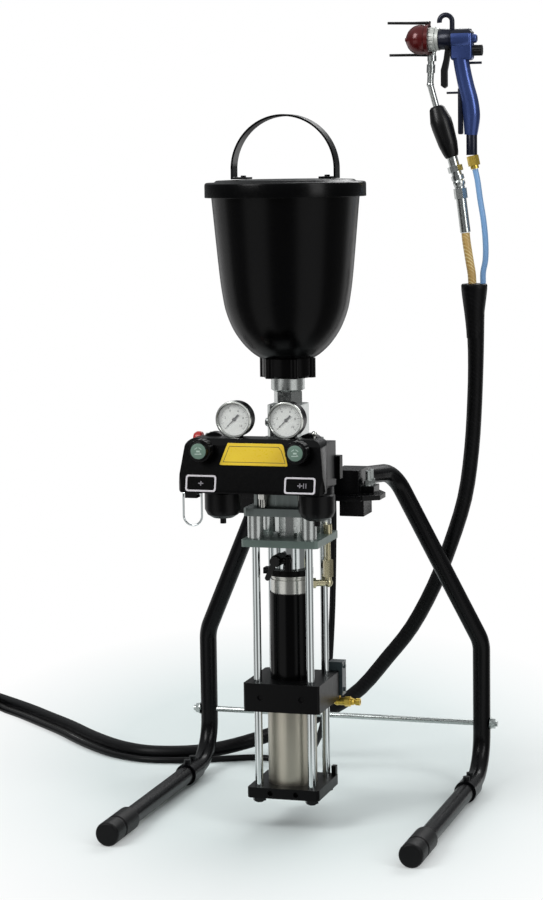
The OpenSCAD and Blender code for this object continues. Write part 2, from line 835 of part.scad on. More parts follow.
module gauge_cases() {
    color("#202226") {
        difference() {
            at_gauges() difference() {
                rotate_extrude()
                    polygon([
                        [0, 6], [gauge_d / 2 - 3.5, 6], [gauge_d / 2 - 3.5, 0], [gauge_d / 2 - 0.8, 0],
                        [gauge_d / 2, 1.5], [gauge_d / 2, 5], [gauge_d / 2 - 1, 6.5],
                        [gauge_d / 2 - 1, gauge_depth - 4], [gauge_d / 2 - 5, gauge_depth], [0, gauge_depth]
                    ]);
                translate([0, 0, 3]) cylinder(h = 9, r = 1.5 + run);
            }
            translate([-200, -300, shell_top - 20]) cube([400, 300, 20]);
        }
        for (s = [-1, 1])
            translate([s * gauge_x, gauge_y + 2, shell_top]) cylinder(h = 6, r = 10, $fn = 6);
    }
}

module gauge_dials() {
    color("#eef0ea")
        at_gauges() translate([0, 0, 5]) difference() {
            cylinder(h = 1, r = gauge_d / 2 - 3.5 - seat);
            translate([0, 0, -1]) cylinder(h = 3, r = 1.5 + run);
        }
}

module gauge_lenses() {
    color([0.8, 0.9, 0.9, 0.35])
        at_gauges() translate([0, 0, 0.6]) cylinder(h = 1.4, r = gauge_d / 2 - 3.5 - seat);
}

// Needle with its tail and the spindle in the case.
needle_rest = 135;
module needle(s) {
    color("#15171a")
        translate([s * gauge_x, gauge_front + 3.2, gauge_z]) rotate([-90, 0, 0]) {
            cylinder(h = 1, r = 3);
            cylinder(h = 6, r = 1.5);
            rotate([0, 0, needle_rest]) linear_extrude(0.8)
                polygon([[-9, -1.6], [-9, 1.6], [0, 1.2], [19, 0.4], [19, -0.4], [0, -1.2]]);
        }
}

module left_needle() { needle(-1); }

module right_needle() { needle(1); }

// Stop valve on top of the left regulator, with its red push button, and the small fittings around it.
valve_y = -150;
valve_r = 8;
button_z = reg_z + reg_h + valve_r - 4;
button_gap = 5;
valve_x = console_x - knob_x - 21;
module console_fittings() {
    color("#d4d6d6") {
        difference() {
            union() {
                translate([valve_x, valve_y, button_z]) rotate([0, 90, 0]) cylinder(h = 30, r = valve_r);
                translate([valve_x + 6, valve_y, button_z]) rotate([0, 90, 0]) cylinder(h = 9, r = 10, $fn = 6);
            }
            translate([valve_x - 1, valve_y, button_z]) rotate([0, 90, 0]) cylinder(h = 16, r = 3.5 + run);
            translate([console_x - knob_x - reg_w / 2, -reg_front, reg_z]) cube([reg_w, reg_front, reg_h]);
        }
        translate([80, -196, shell_top]) cylinder(h = 8, r = 2);
        translate([80, -196, shell_top + 7]) sphere(r = 4);
        for (x = [-27, 33])
            translate([x, (pump_y - block_y / 2 - reg_back) / 2, plate_z + 1]) {
                cylinder(h = 12, r = 6);
                translate([0, 0, 12]) cylinder(h = 9, r = 7.4, $fn = 6);
                translate([0, 0, 20]) cylinder(h = reg_z + 8 - plate_z - 21, r = 5);
            }
    }
}

module stop_button() {
    color("#b5261f")
        translate([valve_x - button_gap, valve_y, button_z]) rotate([0, -90, 0]) {
            rotate_extrude()
                polygon([
                    [0, 0], [button_d / 2 - 2, 0], [button_d / 2, 2], [button_d / 2, 9],
                    [button_d / 2 - 2.5, 13], [button_d / 2 - 6, 14], [0, 14]
                ]);
            translate([0, 0, -14]) cylinder(h = 15, r = 3.5);
        }
}

// Wire hook under the console's left end, for the gun or a bucket: a closed bail that swings.
hook_x = -104;
hook_y = -200;
hook_z = shell_z - 6;
wire_r = 1.5;
hook_w = 14;
module wire_hook() {
    color("#b8babb")
        translate([hook_x, hook_y, hook_z]) {
            rotate([0, 90, 0]) cylinder(h = 2 * hook_w, r = wire_r, center = true);
            for (s = [-1, 1])
                translate([s * hook_w, 0, -33]) cylinder(h = 33, r = wire_r);
            for (s = [-1, 1])
                translate([s * hook_w, 0, 0]) sphere(r = wire_r);
            translate([0, 0, -33]) rotate([90, 0, 0]) rotate([0, 0, 180])
                rotate_extrude(angle = 180) translate([hook_w, 0]) circle(r = wire_r);
        }
}

// Union nut under the hopper, with its six grip lobes.
union_z = neck_z + 38;
bowl_z = union_z + union_h;
neck_r = 19;
module union_nut() {
    color("#151618")
        on_axis(union_z) difference() {
            union() {
                rotate_extrude()
                    polygon([
                        [neck_r + seat, 0], [union_d / 2 - 8, 0], [union_d / 2 - 5, 3],
                        [union_d / 2 - 5, union_h], [neck_r + seat, union_h]
                    ]);
                for (a = [0 : 60 : 300])
                    rotate([0, 0, a]) translate([union_d / 2 - 7, 0, 0]) cylinder(h = union_h, r = 7);
            }
        }
}

// Moulded hopper, drawn as one profile with a constant wall; the neck runs down through the nut.
bowl_r = lid_d / 2 - lid_out;
function bowl_side(t) = [
    [0.466 * bowl_r - t, 8], [0.592 * bowl_r - t, 22], [0.717 * bowl_r - t, 43], [0.807 * bowl_r - t, 68],
    [0.852 * bowl_r - t, 92], [0.897 * bowl_r - t, 132], [bowl_r - 2 - t, bowl_h - 22], [bowl_r - t, bowl_h]
];
lip_r = lid_d / 2 - 3 - 1;
module hopper_bowl() {
    color("#0c0c0e")
        on_axis(bowl_z) rotate_extrude($fn = 96)
            polygon(concat(
                [[neck_r, -union_h], [neck_r, 0], [42, 1]],
                [for (i = [0 : 6]) bowl_side(0)[i]],
                [[bowl_r, bowl_h - 6], [lip_r, bowl_h - 4], [lip_r, bowl_h]],
                [for (i = [7 : -1 : 0]) bowl_side(bowl_wall)[i] + [0, i == 7 ? 0 : 1]],
                [[38, 5], [neck_r - bowl_wall, 1], [neck_r - bowl_wall, -union_h]]
            ));
}

rim_z = bowl_z + bowl_h;
module hopper_lid() {
    color("#111113")
        on_axis(rim_z - lid_h + 4) rotate_extrude($fn = 96)
            polygon([
                [lid_d / 2 - 3, 0], [lid_d / 2, 0], [lid_d / 2, lid_h - 3], [lid_d / 2 - 3, lid_h],
                [lid_d / 2 - 14, lid_h], [lid_d / 2 - 17, lid_h + 3], [70, lid_h + 4], [0, lid_h + 4.5],
                [0, lid_h + 1.5], [70, lid_h + 1], [lid_d / 2 - 18, lid_h - 3.6], [lid_d / 2 - 3, lid_h - 3.6]
            ]);
}

// Fixed strap handle: a thin band bent into an arch, with feet riveted to the lid.
lid_top = rim_z + 8;
module lid_handle() {
    leg_h = strap_h - strap_w / 2;
    color("#131315")
        on_axis(lid_top) rotate([90, 0, 0]) {
            translate([0, leg_h, -13]) rotate_extrude(angle = 180, $fn = 96)
                translate([strap_w / 2 - 3, 0]) square([3, 26]);
            for (s = [-1, 1]) {
                translate([s * (strap_w / 2 - 1.5) - 1.5, 0.5, -13]) cube([3, leg_h - 0.5, 26]);
                translate([s * (strap_w / 2 - 13) - 13, 0.5, -13]) cube([26, 3, 26]);
                translate([s * (strap_w / 2 - 16), 3, 0]) rotate([-90, 0, 0]) cylinder(h = 3, r = 4);
            }
        }
}

// Gun, hung by its hook, barrel along -X.
gun_y = 200;
barrel_z = 1183;
cap_back_x = 161;
module gun_plane(h) {
    translate([0, gun_y + h / 2, barrel_z]) rotate([90, 0, 0]) linear_extrude(h) children();
}

module at_barrel(x) {
    translate([x, gun_y, barrel_z]) rotate([0, 90, 0]) children();
}

pivot = [190, barrel_z - 13];
module gun_body() {
    color("#2c3f78")
        difference() {
            union() {
                at_barrel(176) cylinder(h = 50, r = 16);
                gun_plane(gun_t)
                    polygon([
                        [194, 13], [222, 13], [230, 7], [230, -7], [224, -17], [226, -35],
                        [231, -61], [237, -85], [239, -113], [236, -137], [232, -147], [217, -149],
                        [214, -133], [212, -109], [208, -87], [205, -67], [200, -33], [194, -15]
                    ]);
                gun_plane(gun_t - 10)
                    polygon([
                        [206, -71], [217, -71], [215, -131], [213, -147], [206, -147], [203, -131], [205, -99]
                    ]);
                translate([226, gun_y, barrel_z - 178]) aim([0, 0, 0], [-3, 0, 33]) cylinder(h = 33, r = 8.5);
                translate([220, gun_y, barrel_z + 1]) rotate([0, 90, 0]) cylinder(h = 15, r = 7);
                translate([222, gun_y, barrel_z - 37]) rotate([0, 90, 0]) cylinder(h = 20, r = 2);
                translate([187, gun_y, barrel_z - 82]) rotate([0, 90, 0]) cylinder(h = 22, r = 1.8);
                translate([196, gun_y, barrel_z + 7]) cylinder(h = 20, r = 4);
                translate([186, gun_y, barrel_z + 27]) rotate([90, 0, 0])
                    rotate_extrude(angle = 190) translate([10, 0]) circle(r = 4);
            }
            translate([180, gun_y - 5, barrel_z - 77]) cube([16, 10, 71]);
            translate([pivot[0], gun_y - 20, pivot[1]]) rotate([-90, 0, 0]) cylinder(h = 40, r = 3 + run);
            at_barrel(219) translate([18, 0, 0]) cylinder(h = 14, r = 4 + run);
        }
}

module gun_ring() {
    color("#c9cbc8")
        at_barrel(cap_back_x) difference() {
            union() {
                cylinder(h = 15, r = 17);
                cylinder(h = 9, r = 19);
            }
            for (a = [20 : 20 : 340])
                rotate([0, 0, a]) translate([20.2, 0, -1]) cylinder(h = 8, r = 2);
            translate([15, 0, ring_port - cap_back_x]) rotate([0, 90, 0]) cylinder(h = 6, r = 4 + seat);
        }
}

// Domed red air cap with its two horns, and the black tip guard that springs from a ring behind it.
cap_r = air_cap_d / 2;
cap_h = 15;
function dome(z) = sqrt(max(0, cap_r * cap_r - (z - cap_h) * (z - cap_h)));
module air_cap() {
    color("#8f1f1d")
        at_barrel(cap_back_x) rotate([180, 0, 0]) {
            rotate_extrude()
                polygon(concat(
                    [[0, 0]],
                    [for (k = [0 : 11]) [dome(k * (cap_h + cap_r - 1) / 11), k * (cap_h + cap_r - 1) / 11]],
                    [[0, cap_h + cap_r - 1]]
                ));
            for (s = [-1, 1])
                translate([0, s * 11, cap_h + 9]) cylinder(h = 12.5, r = 3);
        }
}

module tip_guard() {
    color("#151517") {
        at_barrel(cap_back_x - 6) difference() {
            cylinder(h = 5.4, r = cap_r + 0.3);
            translate([0, 0, -1]) cylinder(h = 8, r = dome(6) + seat);
        }
        for (prong = [[0, 27], [205, cap_r + 1.4]])
            translate([cap_back_x, gun_y, barrel_z]) rotate([prong[0], 0, 0]) {
                translate([-6, -2.5, cap_r - 1.2]) cube([5.4, 5, 5.2]);
                bar([-4, 0, cap_r + 2.4], [-67, 0, prong[1]], 2);
            }
        translate([cap_back_x - 3.3, gun_y, barrel_z]) rotate([-25, 0, 0]) translate([0, 0, cap_r - 1])
            cylinder(h = 9, r = 1.8);
    }
}

// Two-finger trigger on its cross pin.
module gun_trigger() {
    color("#1c1d20")
        union() {
            translate([pivot[0], gun_y - gun_t / 2 - 1, pivot[1]]) rotate([-90, 0, 0])
                cylinder(h = gun_t + 2, r = 3);
            gun_plane(9.4)
                polygon([
                    [186, -11], [193.6, -11], [191, -33], [188, -49], [188, -72], [184, -75],
                    [178.5, -71], [178.5, -47], [183, -31]
                ]);
        }
}

module fluid_tube() {
    bend = [161, gun_y, barrel_z - 69];
    color("#dcdedf") {
        bar(tube_top, bend, 5);
        bar(bend, grip_top, 5);
        translate(bend) sphere(r = 5.7);
        translate([ring_port, gun_y, tube_top[2] - 2]) cylinder(h = barrel_z - 16 - tube_top[2] + 2, r = 4);
        translate([tube_top[0] + 0.8, gun_y, tube_top[2] - 8]) cylinder(h = 8.4, r = 7);
        bar([162.4, gun_y, barrel_z - 38], [161.8, gun_y, barrel_z - 51], 6.6);
    }
}

tube_top = [163, gun_y, barrel_z - 25];
ring_port = 166;
grip_top = [170, gun_y, barrel_z - 102];
grip_end = [195, gun_y, barrel_z - 181];
module filter_grip() {
    len = norm(grip_end - grip_top);
    color("#0f0f11")
        aim(grip_top, grip_end) rotate_extrude()
            polygon([
                [0, gap], [9, gap], [12, 4], [grip_d / 2, 24], [grip_d / 2, 34],
                [grip_d / 2 - 2, 62], [12, len - 6], [10, len - gap], [0, len - gap]
            ]);
}

// Swivel below the filter grip, the fluid hose's ferrule and the brass nut of the air hose.
swivel_end = [206, gun_y, barrel_z - 221];
ferrule_end = [215.5, gun_y, barrel_z - 297];
nut_top = [227, gun_y, barrel_z - 179];
nut_end = [231, gun_y, barrel_z - 199];
module gun_fittings() {
    fluid_tube();
    color("#cdd0d1") {
        bar(grip_end, swivel_end, 8);
        aim(grip_end, swivel_end) {
            translate([0, 0, 14]) cylinder(h = 9, r = 12, $fn = 6);
            translate([0, 0, 29]) cylinder(h = 7, r = 10);
        }
        translate(swivel_end) sphere(r = 9.5);
        bar(swivel_end, ferrule_end, 8);
        aim(swivel_end, ferrule_end) translate([0, 0, 8]) cylinder(h = 16, r = 10.5, $fn = 6);
    }
    color("#b08a3a") {
        aim(nut_top, nut_end) cylinder(h = norm(nut_end - nut_top) - 5, r = 9.5, $fn = 6);
        bar(nut_top, nut_end, 6.5);
    }
}

module gun_knob() {
    color("#17181b")
        at_barrel(229) translate([18, 0, 0]) difference() {
            union() {
                cylinder(h = 14, r = 8.5);
                translate([0, 0, -6]) cylinder(h = 8, r = 4);
            }
            for (a = [0 : 30 : 330])
                rotate([0, 0, a]) translate([9.6, 0, 2]) cylinder(h = 14, r = 1.8);
        }
}

// Hoses. Each route is a hand-laid line; the tubes are swept along a smooth curve through its points.
lie = sleeve_d / 2 + gap;
lead_lie = lead_hose_d / 2 + gap;
mouth_z = barrel_z - 377;
HANG = [
    [229, 200, 806], [230, 200, 760], [230, 205, 700], [226, 214, 624], [218, 226, 542], [203, 242, 463],
    [176, 258, 386], [145, 272, 314], [105, 284, 243], [62, 292, 189], [14, 299, 133], [-38, 306, 95],
    [-95, 311, 66], [-150, 313, 42], [-208, 305, 23], [-255, 290, 14]
];
SLEEVE = concat([for (p = HANG) [p[0], p[1], p[2] > 100 ? p[2] * mouth_z / 806 : p[2]]], [
    [-300, 272, lie], [-350, 265, lie],
    [-397, 281, lie], [-441, 311, lie], [-488, 352, lie], [-545, 408, lie], [-606, 461, lie],
    [-667, 514, lie], [-760, 585.6, lie], [-828.5, 635.6, lie]
]);
LEAD = [
    [20, 31, 540], [20, 66, 540], [20, 104, 520], [18, 126, 470], [15, 135, 400], [10, 143, 300],
    [-2, 165, 200], [-22, 205, 110], [-52, 250, 45], [-95, 288, 12], [-135, 300, lead_lie],
    [-172, 300, lead_lie], [-209, 284, lead_lie], [-255, 263, lead_lie], [-300, 248, lead_lie],
    [-352, 243, lead_lie], [-408, 262, lead_lie], [-455, 294, lead_lie], [-503, 336, lead_lie],
    [-560, 393, lead_lie], [-620, 446, lead_lie], [-680, 498, lead_lie], [-738, 545, lead_lie],
    [-761, 563, 16], [-770, 578, 27], [-778, 598, 33], [-785, 619, 27], [-794, 637, 15],
    [-808, 660, lead_lie], [-836, 705, lead_lie], [-882, 746, lead_lie], [-950, 765, lead_lie],
    [-1040, 768, lead_lie], [-1160, 768, lead_lie], [-1226, 766, lead_lie], [-1262, 750, lead_lie],
    [-1273, 724, lead_lie], [-1262, 699, 8], [-1236, 688, lie], [-1201, 687, lie]
];
FLUID = [for (p = [[215.6, 79.3], [217.2, 64], [222, 34], [225, 16], [226, 0.6]]) [p[0], gun_y, mouth_z + p[1]]];
AIR = [
    for (p = [[231.2, 177.3], [235, 159], [239, 130], [244, 99], [247, 67], [247, 39], [243.2, 18], [243, 0.6]])
        [p[0], gun_y, mouth_z + p[1]]
];

function spline(a, b, c, d, t) =
    0.5 * (2 * b + (c - a) * t + (2 * a - 5 * b + 4 * c - d) * t * t + (3 * b - a - 3 * c + d) * t * t * t);
function at(p, i) = p[max(0, min(len(p) - 1, i))];
function smooth_line(p, n) = concat(
    [for (i = [0 : len(p) - 2]) for (k = [0 : n - 1]) spline(at(p, i - 1), p[i], p[i + 1], at(p, i + 2), k / n)],
    [p[len(p) - 1]]
);
function heading(p, i) = unit(at(p, i + 1) - at(p, i - 1));
function across(v, t) = unit(v - (v * t) * t);
function carry(p, v, i = 0) =
    i >= len(p) ? [] : concat([across(v, heading(p, i))], carry(p, across(v, heading(p, i)), i + 1));

// A round tube with closed ends along the points p, its radius given for each ring.
module swept(p, radii, sides) {
    v = carry(p, [0.31, 0.83, 0.46]);
    n = len(p);
    rings = [
        for (i = [0 : n - 1]) for (k = [0 : sides - 1])
            p[i] + radii[i] * (cos(360 * k / sides) * v[i] + sin(360 * k / sides) * cross(heading(p, i), v[i]))
    ];
    walls = [
        for (i = [0 : n - 2]) for (k = [0 : sides - 1]) for (h = [0, 1])
            h == 0 ? [i * sides + k, (i + 1) * sides + k, i * sides + (k + 1) % sides]
            : [i * sides + (k + 1) % sides, (i + 1) * sides + k, (i + 1) * sides + (k + 1) % sides]
    ];
    polyhedron(rings, concat(
        walls,
        [for (k = [1 : sides - 2]) [0, k, k + 1]],
        [for (k = [1 : sides - 2]) [(n - 1) * sides, (n - 1) * sides + k + 1, (n - 1) * sides + k]]
    ));
}

module hose(route, d, n, sides) {
    p = smooth_line(route, n);
    swept(p, [for (q = p) d / 2], sides);
}

mouth_d = 41;
module hose_sleeve() {
    p = smooth_line(SLEEVE, 2);
    color("#121214")
        swept(p, [for (i = [0 : len(p) - 1])
            i == 0 ? mouth_d / 2 : i == 1 ? mouth_d / 2 - 3 : i == 2 ? sleeve_d / 2 + 1.5 : sleeve_d / 2], 10);
}

// Spare length behind the object: a coil of two layers that spirals in, climbs and spirals out.
coil_at = [-951, 512];
coil_r = 172;
coil_pitch = sleeve_d + 1;
coil_start = 54;
half_turns = 3;
turns = 6.1;
function climb(t) = t < 0 ? 0 : t > 1 ? 1 : t * t * (3 - 2 * t);
function coil_point(t) =
    let (a = coil_start + 360 * t, r = coil_r - coil_pitch * (half_turns - abs(t - half_turns)))
    [coil_at[0] + r * cos(a), coil_at[1] + r * sin(a),
        lie + (sleeve_d + 0.8) * climb((t - half_turns + 0.25) * 2)];
coil_end = coil_point(turns);
tail_len = 190;
function tail_point(d) =
    [coil_end[0] - d, coil_end[1] + min(d, 30) * 0.02, lie + (coil_end[2] - lie) * (1 - climb((d - 50) / 110))];
ring_step = 1 / 24;
COIL = concat(
    [coil_point(0) + 26 * [sin(coil_start), -cos(coil_start), 0]],
    [for (i = [0 : floor(turns / ring_step)]) coil_point(i * ring_step)],
    [for (d = [22 : 24 : tail_len]) tail_point(d)]
);
tail_end = COIL[len(COIL) - 1];

// Least distance between coil points that are more than half a turn apart, less the sleeve's diameter.
least_gap = min([
    for (i = [0 : len(COIL) - 13]) for (j = [i + 12 : len(COIL) - 1]) norm(COIL[i] - COIL[j])
]) - sleeve_d;
echo(least_gap = least_gap);

module sleeve_coil() {
    color("#121214") swept(COIL, [for (q = COIL) sleeve_d / 2], 6);
}

// Screwed coupling between the bundle and the lead hose.
module hose_coupling() {
    a = [tail_end[0] - gap, tail_end[1], tail_end[2]];
    b = LEAD[len(LEAD) - 1] + [gap, 0, 0];
    color("#c4c6c8") {
        bar(a, b, lead_hose_d / 2 + 2);
        aim(a, b) {
            cylinder(h = 14, r = sleeve_d / 2 - 1);
            translate([0, 0, 18]) cylinder(h = 14, r = 9.5, $fn = 6);
            translate([0, 0, 36]) cylinder(h = 10, r = 8.5, $fn = 6);
        }
    }
}

module lead_hose() {
    color("#18181a") hose(LEAD, lead_hose_d, 1, 8);
}

module fluid_hose() {
    color("#c08d2c") hose(FLUID, fluid_hose_d, 2, 12);
}

module air_hose() {
    color("#5f9bd8") hose(AIR, air_hose_d, 2, 10);
}

left_leg();
right_leg();
foot_caps();
foot_collars();
cross_rod();
stand_bracket();
bracket_bolts();
base_plate();
tie_rods();
air_cylinder();
air_piston();
valve_block();
pilot_box();
air_inlet();
hydraulic_cylinder();
cylinder_head();
clamp_ring();
inner_cylinder();
upper_plate();
spacer_columns();
fluid_block();
inlet_block();
outlet_fitting();
side_pipe();
relief_valve();
relief_lever();
console_shell();
console_bracket();
console_fittings();
front_plate();
label_frames();
left_regulator();
right_regulator();
left_knob();
right_knob();
gauge_cases();
gauge_dials();
gauge_lenses();
left_needle();
right_needle();
stop_button();
wire_hook();
union_nut();
hopper_bowl();
hopper_lid();
lid_handle();
gun_body();
gun_ring();
air_cap();
tip_guard();
gun_trigger();
filter_grip();
gun_fittings();
gun_knob();
hose_sleeve();
sleeve_coil();
hose_coupling();
lead_hose();
fluid_hose();
air_hose();
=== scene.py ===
"""Air-driven paint pump on a bent-tube stand, dressed over its CAD frame.

The part's own frame: +Z up, the console faces -Y. Lengths are millimetres in the classes' fields
and wherever a docstring says so, and metres elsewhere.
"""

import json
import logging
import math
from dataclasses import dataclass
from enum import Enum
from typing import Any, Callable, Iterable, Sequence

import bpy
from mathutils import Matrix, Vector

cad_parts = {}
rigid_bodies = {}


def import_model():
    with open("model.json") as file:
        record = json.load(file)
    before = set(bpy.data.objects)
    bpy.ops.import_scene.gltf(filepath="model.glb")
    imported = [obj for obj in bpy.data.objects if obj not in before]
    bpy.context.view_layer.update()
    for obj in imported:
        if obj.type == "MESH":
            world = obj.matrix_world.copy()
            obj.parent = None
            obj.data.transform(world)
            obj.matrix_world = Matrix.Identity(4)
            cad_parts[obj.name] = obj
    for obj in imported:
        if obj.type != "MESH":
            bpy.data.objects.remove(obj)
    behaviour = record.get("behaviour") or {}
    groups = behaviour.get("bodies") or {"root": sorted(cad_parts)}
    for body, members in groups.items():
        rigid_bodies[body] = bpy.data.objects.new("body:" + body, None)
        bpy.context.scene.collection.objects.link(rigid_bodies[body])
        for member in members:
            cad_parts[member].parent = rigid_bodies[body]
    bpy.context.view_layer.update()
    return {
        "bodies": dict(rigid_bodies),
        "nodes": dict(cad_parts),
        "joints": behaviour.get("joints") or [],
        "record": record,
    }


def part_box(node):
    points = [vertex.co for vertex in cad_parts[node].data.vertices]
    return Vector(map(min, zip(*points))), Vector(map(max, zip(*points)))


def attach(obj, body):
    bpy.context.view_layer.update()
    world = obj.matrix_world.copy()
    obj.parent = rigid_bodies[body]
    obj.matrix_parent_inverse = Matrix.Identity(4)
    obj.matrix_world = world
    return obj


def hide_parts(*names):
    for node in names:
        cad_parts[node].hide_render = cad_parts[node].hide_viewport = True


logging.basicConfig(level=logging.INFO, format="%(name)s: %(message)s")
LOG = logging.getLogger("sprayer")

MM = 0.001
Pair = tuple[float, float]
Point = tuple[float, float, float]
Piece = bpy.types.Object
Socket = bpy.types.NodeSocket

# Texture scales per metre: an even grain counts in millimetres, a brushed one is drawn out along Z.
EVEN_GRAIN = (1000.0, 1000.0, 1000.0)
BRUSHED_GRAIN = (900.0, 900.0, 40.0)
# The tone drifts over about 55 mm.
DRIFT_SCALE = 18.0
# Slant of a weave's yarns, and the wave scale that sets them about 1.7 mm apart at a grain of 1 mm.
YARN_SLANT_DEG = 35
YARN_SCALE = 220.0
# The noise textures hardly leave this range.
NOISE_RANGE = (0.3, 0.7)
# How much of a grain's relief shows.
BUMP_STRENGTH = 0.5
# Gauge glass is thin and lets nearly all light through.
GLASS_ALPHA = 0.1
# Rings and corners closer than this are merged, in metres.
MERGE_RINGS = 1e-6
MERGE_CORNERS = 1e-5
# Faces of a CAD node that lie flatter than this are one face.
FLAT_DEG = 2
# Soft copies and the gun are shaded smooth up to this angle.
SOFT_SHADE_DEG = 40


def linear(hex_colour: str) -> tuple[float, float, float, float]:
    """Turns an sRGB hex colour into linear RGBA.

    Args:
        hex_colour: Six hex digits, such as "1b1c1e".

    Returns:
        The colour as four linear numbers, alpha 1.
    """
    channels = [int(hex_colour[i:i + 2], 16) / 255 for i in (0, 2, 4)]
    red, green, blue = [c / 12.92 if c <= 0.04045 else ((c + 0.055) / 1.055) ** 2.4 for c in channels]
    return (red, green, blue, 1.0)


def add_node(tree: bpy.types.NodeTree, kind: str, settings: dict[str | int, Any] | None = None,
             links: dict[str | int, Socket] | None = None) -> bpy.types.Node:
    """Adds one node with its settings and the sockets that feed it.

    Args:
        tree: The node tree.
        kind: The node's type, such as "ShaderNodeTexNoise".
        settings: Attribute names, or names or numbers of inputs, with their values.
        links: Names or numbers of inputs with the output sockets that feed them.

    Returns:
        The new node.
    """
    node = tree.nodes.new(kind)
    for name, value in (settings or {}).items():
        if isinstance(name, str) and hasattr(node, name):
            setattr(node, name, value)
        else:
            node.inputs[name].default_value = value
    for name, socket in (links or {}).items():
        tree.links.new(socket, node.inputs[name])
    return node


def empty_tree(owner: bpy.types.Material | bpy.types.World) -> bpy.types.NodeTree:
    """Gives a material or world an empty node tree.

    Args:
        owner: The material or world.

    Returns:
        Its node tree.
    """
    owner.use_nodes = True
    owner.node_tree.nodes.clear()
    return owner.node_tree


class Surface(Enum):
    """How a finish was made, which decides the pattern that it carries."""

    MOULDED = "moulded"
    PAINTED = "painted"
    BRUSHED = "brushed"
    POLISHED = "polished"
    WOVEN = "woven"
    CLEAR = "clear"


@dataclass(frozen=True)
class Finish:
    """One real finish and how it was made.

    Attributes:
        name: The material's common name.
        colour: Base colour as sRGB hex.
        shade: Second colour that the surface drifts to.
        surface: How the surface was made.
        metallic: 1 for bare metal, else 0.
        roughness: Mean roughness of the surface.
        spread: How far the roughness drifts either way.
        grain_mm: Size of the surface's grain.
        relief_mm: Height of that grain.
        ior: Index of refraction of a non-metal.
    """

    name: str
    colour: str
    shade: str
    surface: Surface
    metallic: float = 0.0
    roughness: float = 0.4
    spread: float = 0.06
    grain_mm: float = 0.8
    relief_mm: float = 0.01
    ior: float = 1.5

    def build(self) -> bpy.types.Material:
        """Builds the material once and gives the same one afterwards.

        Returns:
            The material.
        """
        found = bpy.data.materials.get(self.name)
        if found is not None:
            return found
        material = bpy.data.materials.new(self.name)
        tree = empty_tree(material)
        place = add_node(tree, "ShaderNodeTexCoord").outputs["Object"]
        stretch = BRUSHED_GRAIN if self.surface is Surface.BRUSHED else EVEN_GRAIN
        scaled = add_node(tree, "ShaderNodeMapping", {"Scale": stretch}, {"Vector": place})
        grain = add_node(tree, "ShaderNodeTexNoise", {"Scale": 1.0 / self.grain_mm, "Detail": 3.0},
                         {"Vector": scaled.outputs["Vector"]}).outputs["Fac"]
        drift = add_node(tree, "ShaderNodeTexNoise", {"Scale": DRIFT_SCALE, "Detail": 2.0},
                         {"Vector": place}).outputs["Fac"]
        low, high = max(0.02, self.roughness - self.spread), min(1.0, self.roughness + self.spread)
        rough = add_node(tree, "ShaderNodeMapRange",
                         {"From Min": NOISE_RANGE[0], "From Max": NOISE_RANGE[1],
                          "To Min": low, "To Max": high}, {"Value": grain})
        if self.surface is Surface.WOVEN:
            grain = drift = self.weave(tree, place)
        colours = {"data_type": "RGBA", 6: linear(self.colour), 7: linear(self.shade)}
        tone = add_node(tree, "ShaderNodeMix", colours, {"Factor": drift})
        bump = add_node(tree, "ShaderNodeBump", {"Strength": BUMP_STRENGTH, "Distance": self.relief_mm * MM},
                        {"Height": grain})
        alpha = GLASS_ALPHA if self.surface is Surface.CLEAR else 1.0
        shader = add_node(tree, "ShaderNodeBsdfPrincipled",
                          {"Metallic": self.metallic, "IOR": self.ior, "Alpha": alpha},
                          {"Base Color": tone.outputs[2], "Roughness": rough.outputs["Result"],
                           "Normal": bump.outputs["Normal"]})
        add_node(tree, "ShaderNodeOutputMaterial", None, {"Surface": shader.outputs["BSDF"]})
        return material

    def weave(self, tree: bpy.types.NodeTree, place: Socket) -> Socket:
        """Crosses two slanted sets of yarns, drawn coarser than the real ones, which would not show.

        Args:
            tree: The material's node tree.
            place: The object's own coordinates.

        Returns:
            The crossed pattern.
        """
        yarns: dict[str | int, Socket] = {}
        for index, slant in enumerate((YARN_SLANT_DEG, -YARN_SLANT_DEG)):
            turned = add_node(tree, "ShaderNodeMapping", {"Rotation": (math.radians(slant),) * 3},
                              {"Vector": place})
            wave = {"bands_direction": "DIAGONAL", "Scale": YARN_SCALE / self.grain_mm, "Distortion": 0.4}
            yarns[index] = add_node(tree, "ShaderNodeTexWave", wave,
                                    {"Vector": turned.outputs["Vector"]}).outputs["Fac"]
        return add_node(tree, "ShaderNodeMath", {"operation": "MULTIPLY"}, yarns).outputs["Value"]


# Satin powder coat on steel tube: an even black with a slight orange peel.
POWDER_BLACK = Finish("powder_coat_black", "030304", "060608", Surface.PAINTED,
                      0.0, 0.25, 0.05, 1.6, 0.008, 1.26)
# Black anodised aluminium: an even dull black with a fine brushed grain.
ANODISED_BLACK = Finish("anodised_aluminium_black", "020202", "050506", Surface.BRUSHED,
                        0.0, 0.36, 0.07, 0.9, 0.004, 1.22)
# Moulded ABS: an even black with a fine spark-eroded grain.
ABS_BLACK = Finish("abs_moulded_black", "030304", "070709", Surface.MOULDED,
                   0.0, 0.32, 0.06, 1.2, 0.01, 1.27)
# Blow-moulded polyethylene: smooth, faintly glossy black.
PE_BLACK = Finish("polyethylene_black", "010101", "030304", Surface.MOULDED,
                  0.0, 0.24, 0.03, 6.0, 0.001, 1.22)
# Soft rubber foot: matt, slightly dusty black.
RUBBER_BLACK = Finish("rubber_black", "040405", "09090a", Surface.MOULDED,
                      0.0, 0.46, 0.08, 1.6, 0.02, 1.27)
# Hard chrome on rods: mirror bright.
HARD_CHROME = Finish("hard_chrome", "dfe4e4", "cfd6d6", Surface.POLISHED, 1.0, 0.10, 0.03, 1.5, 0.001)
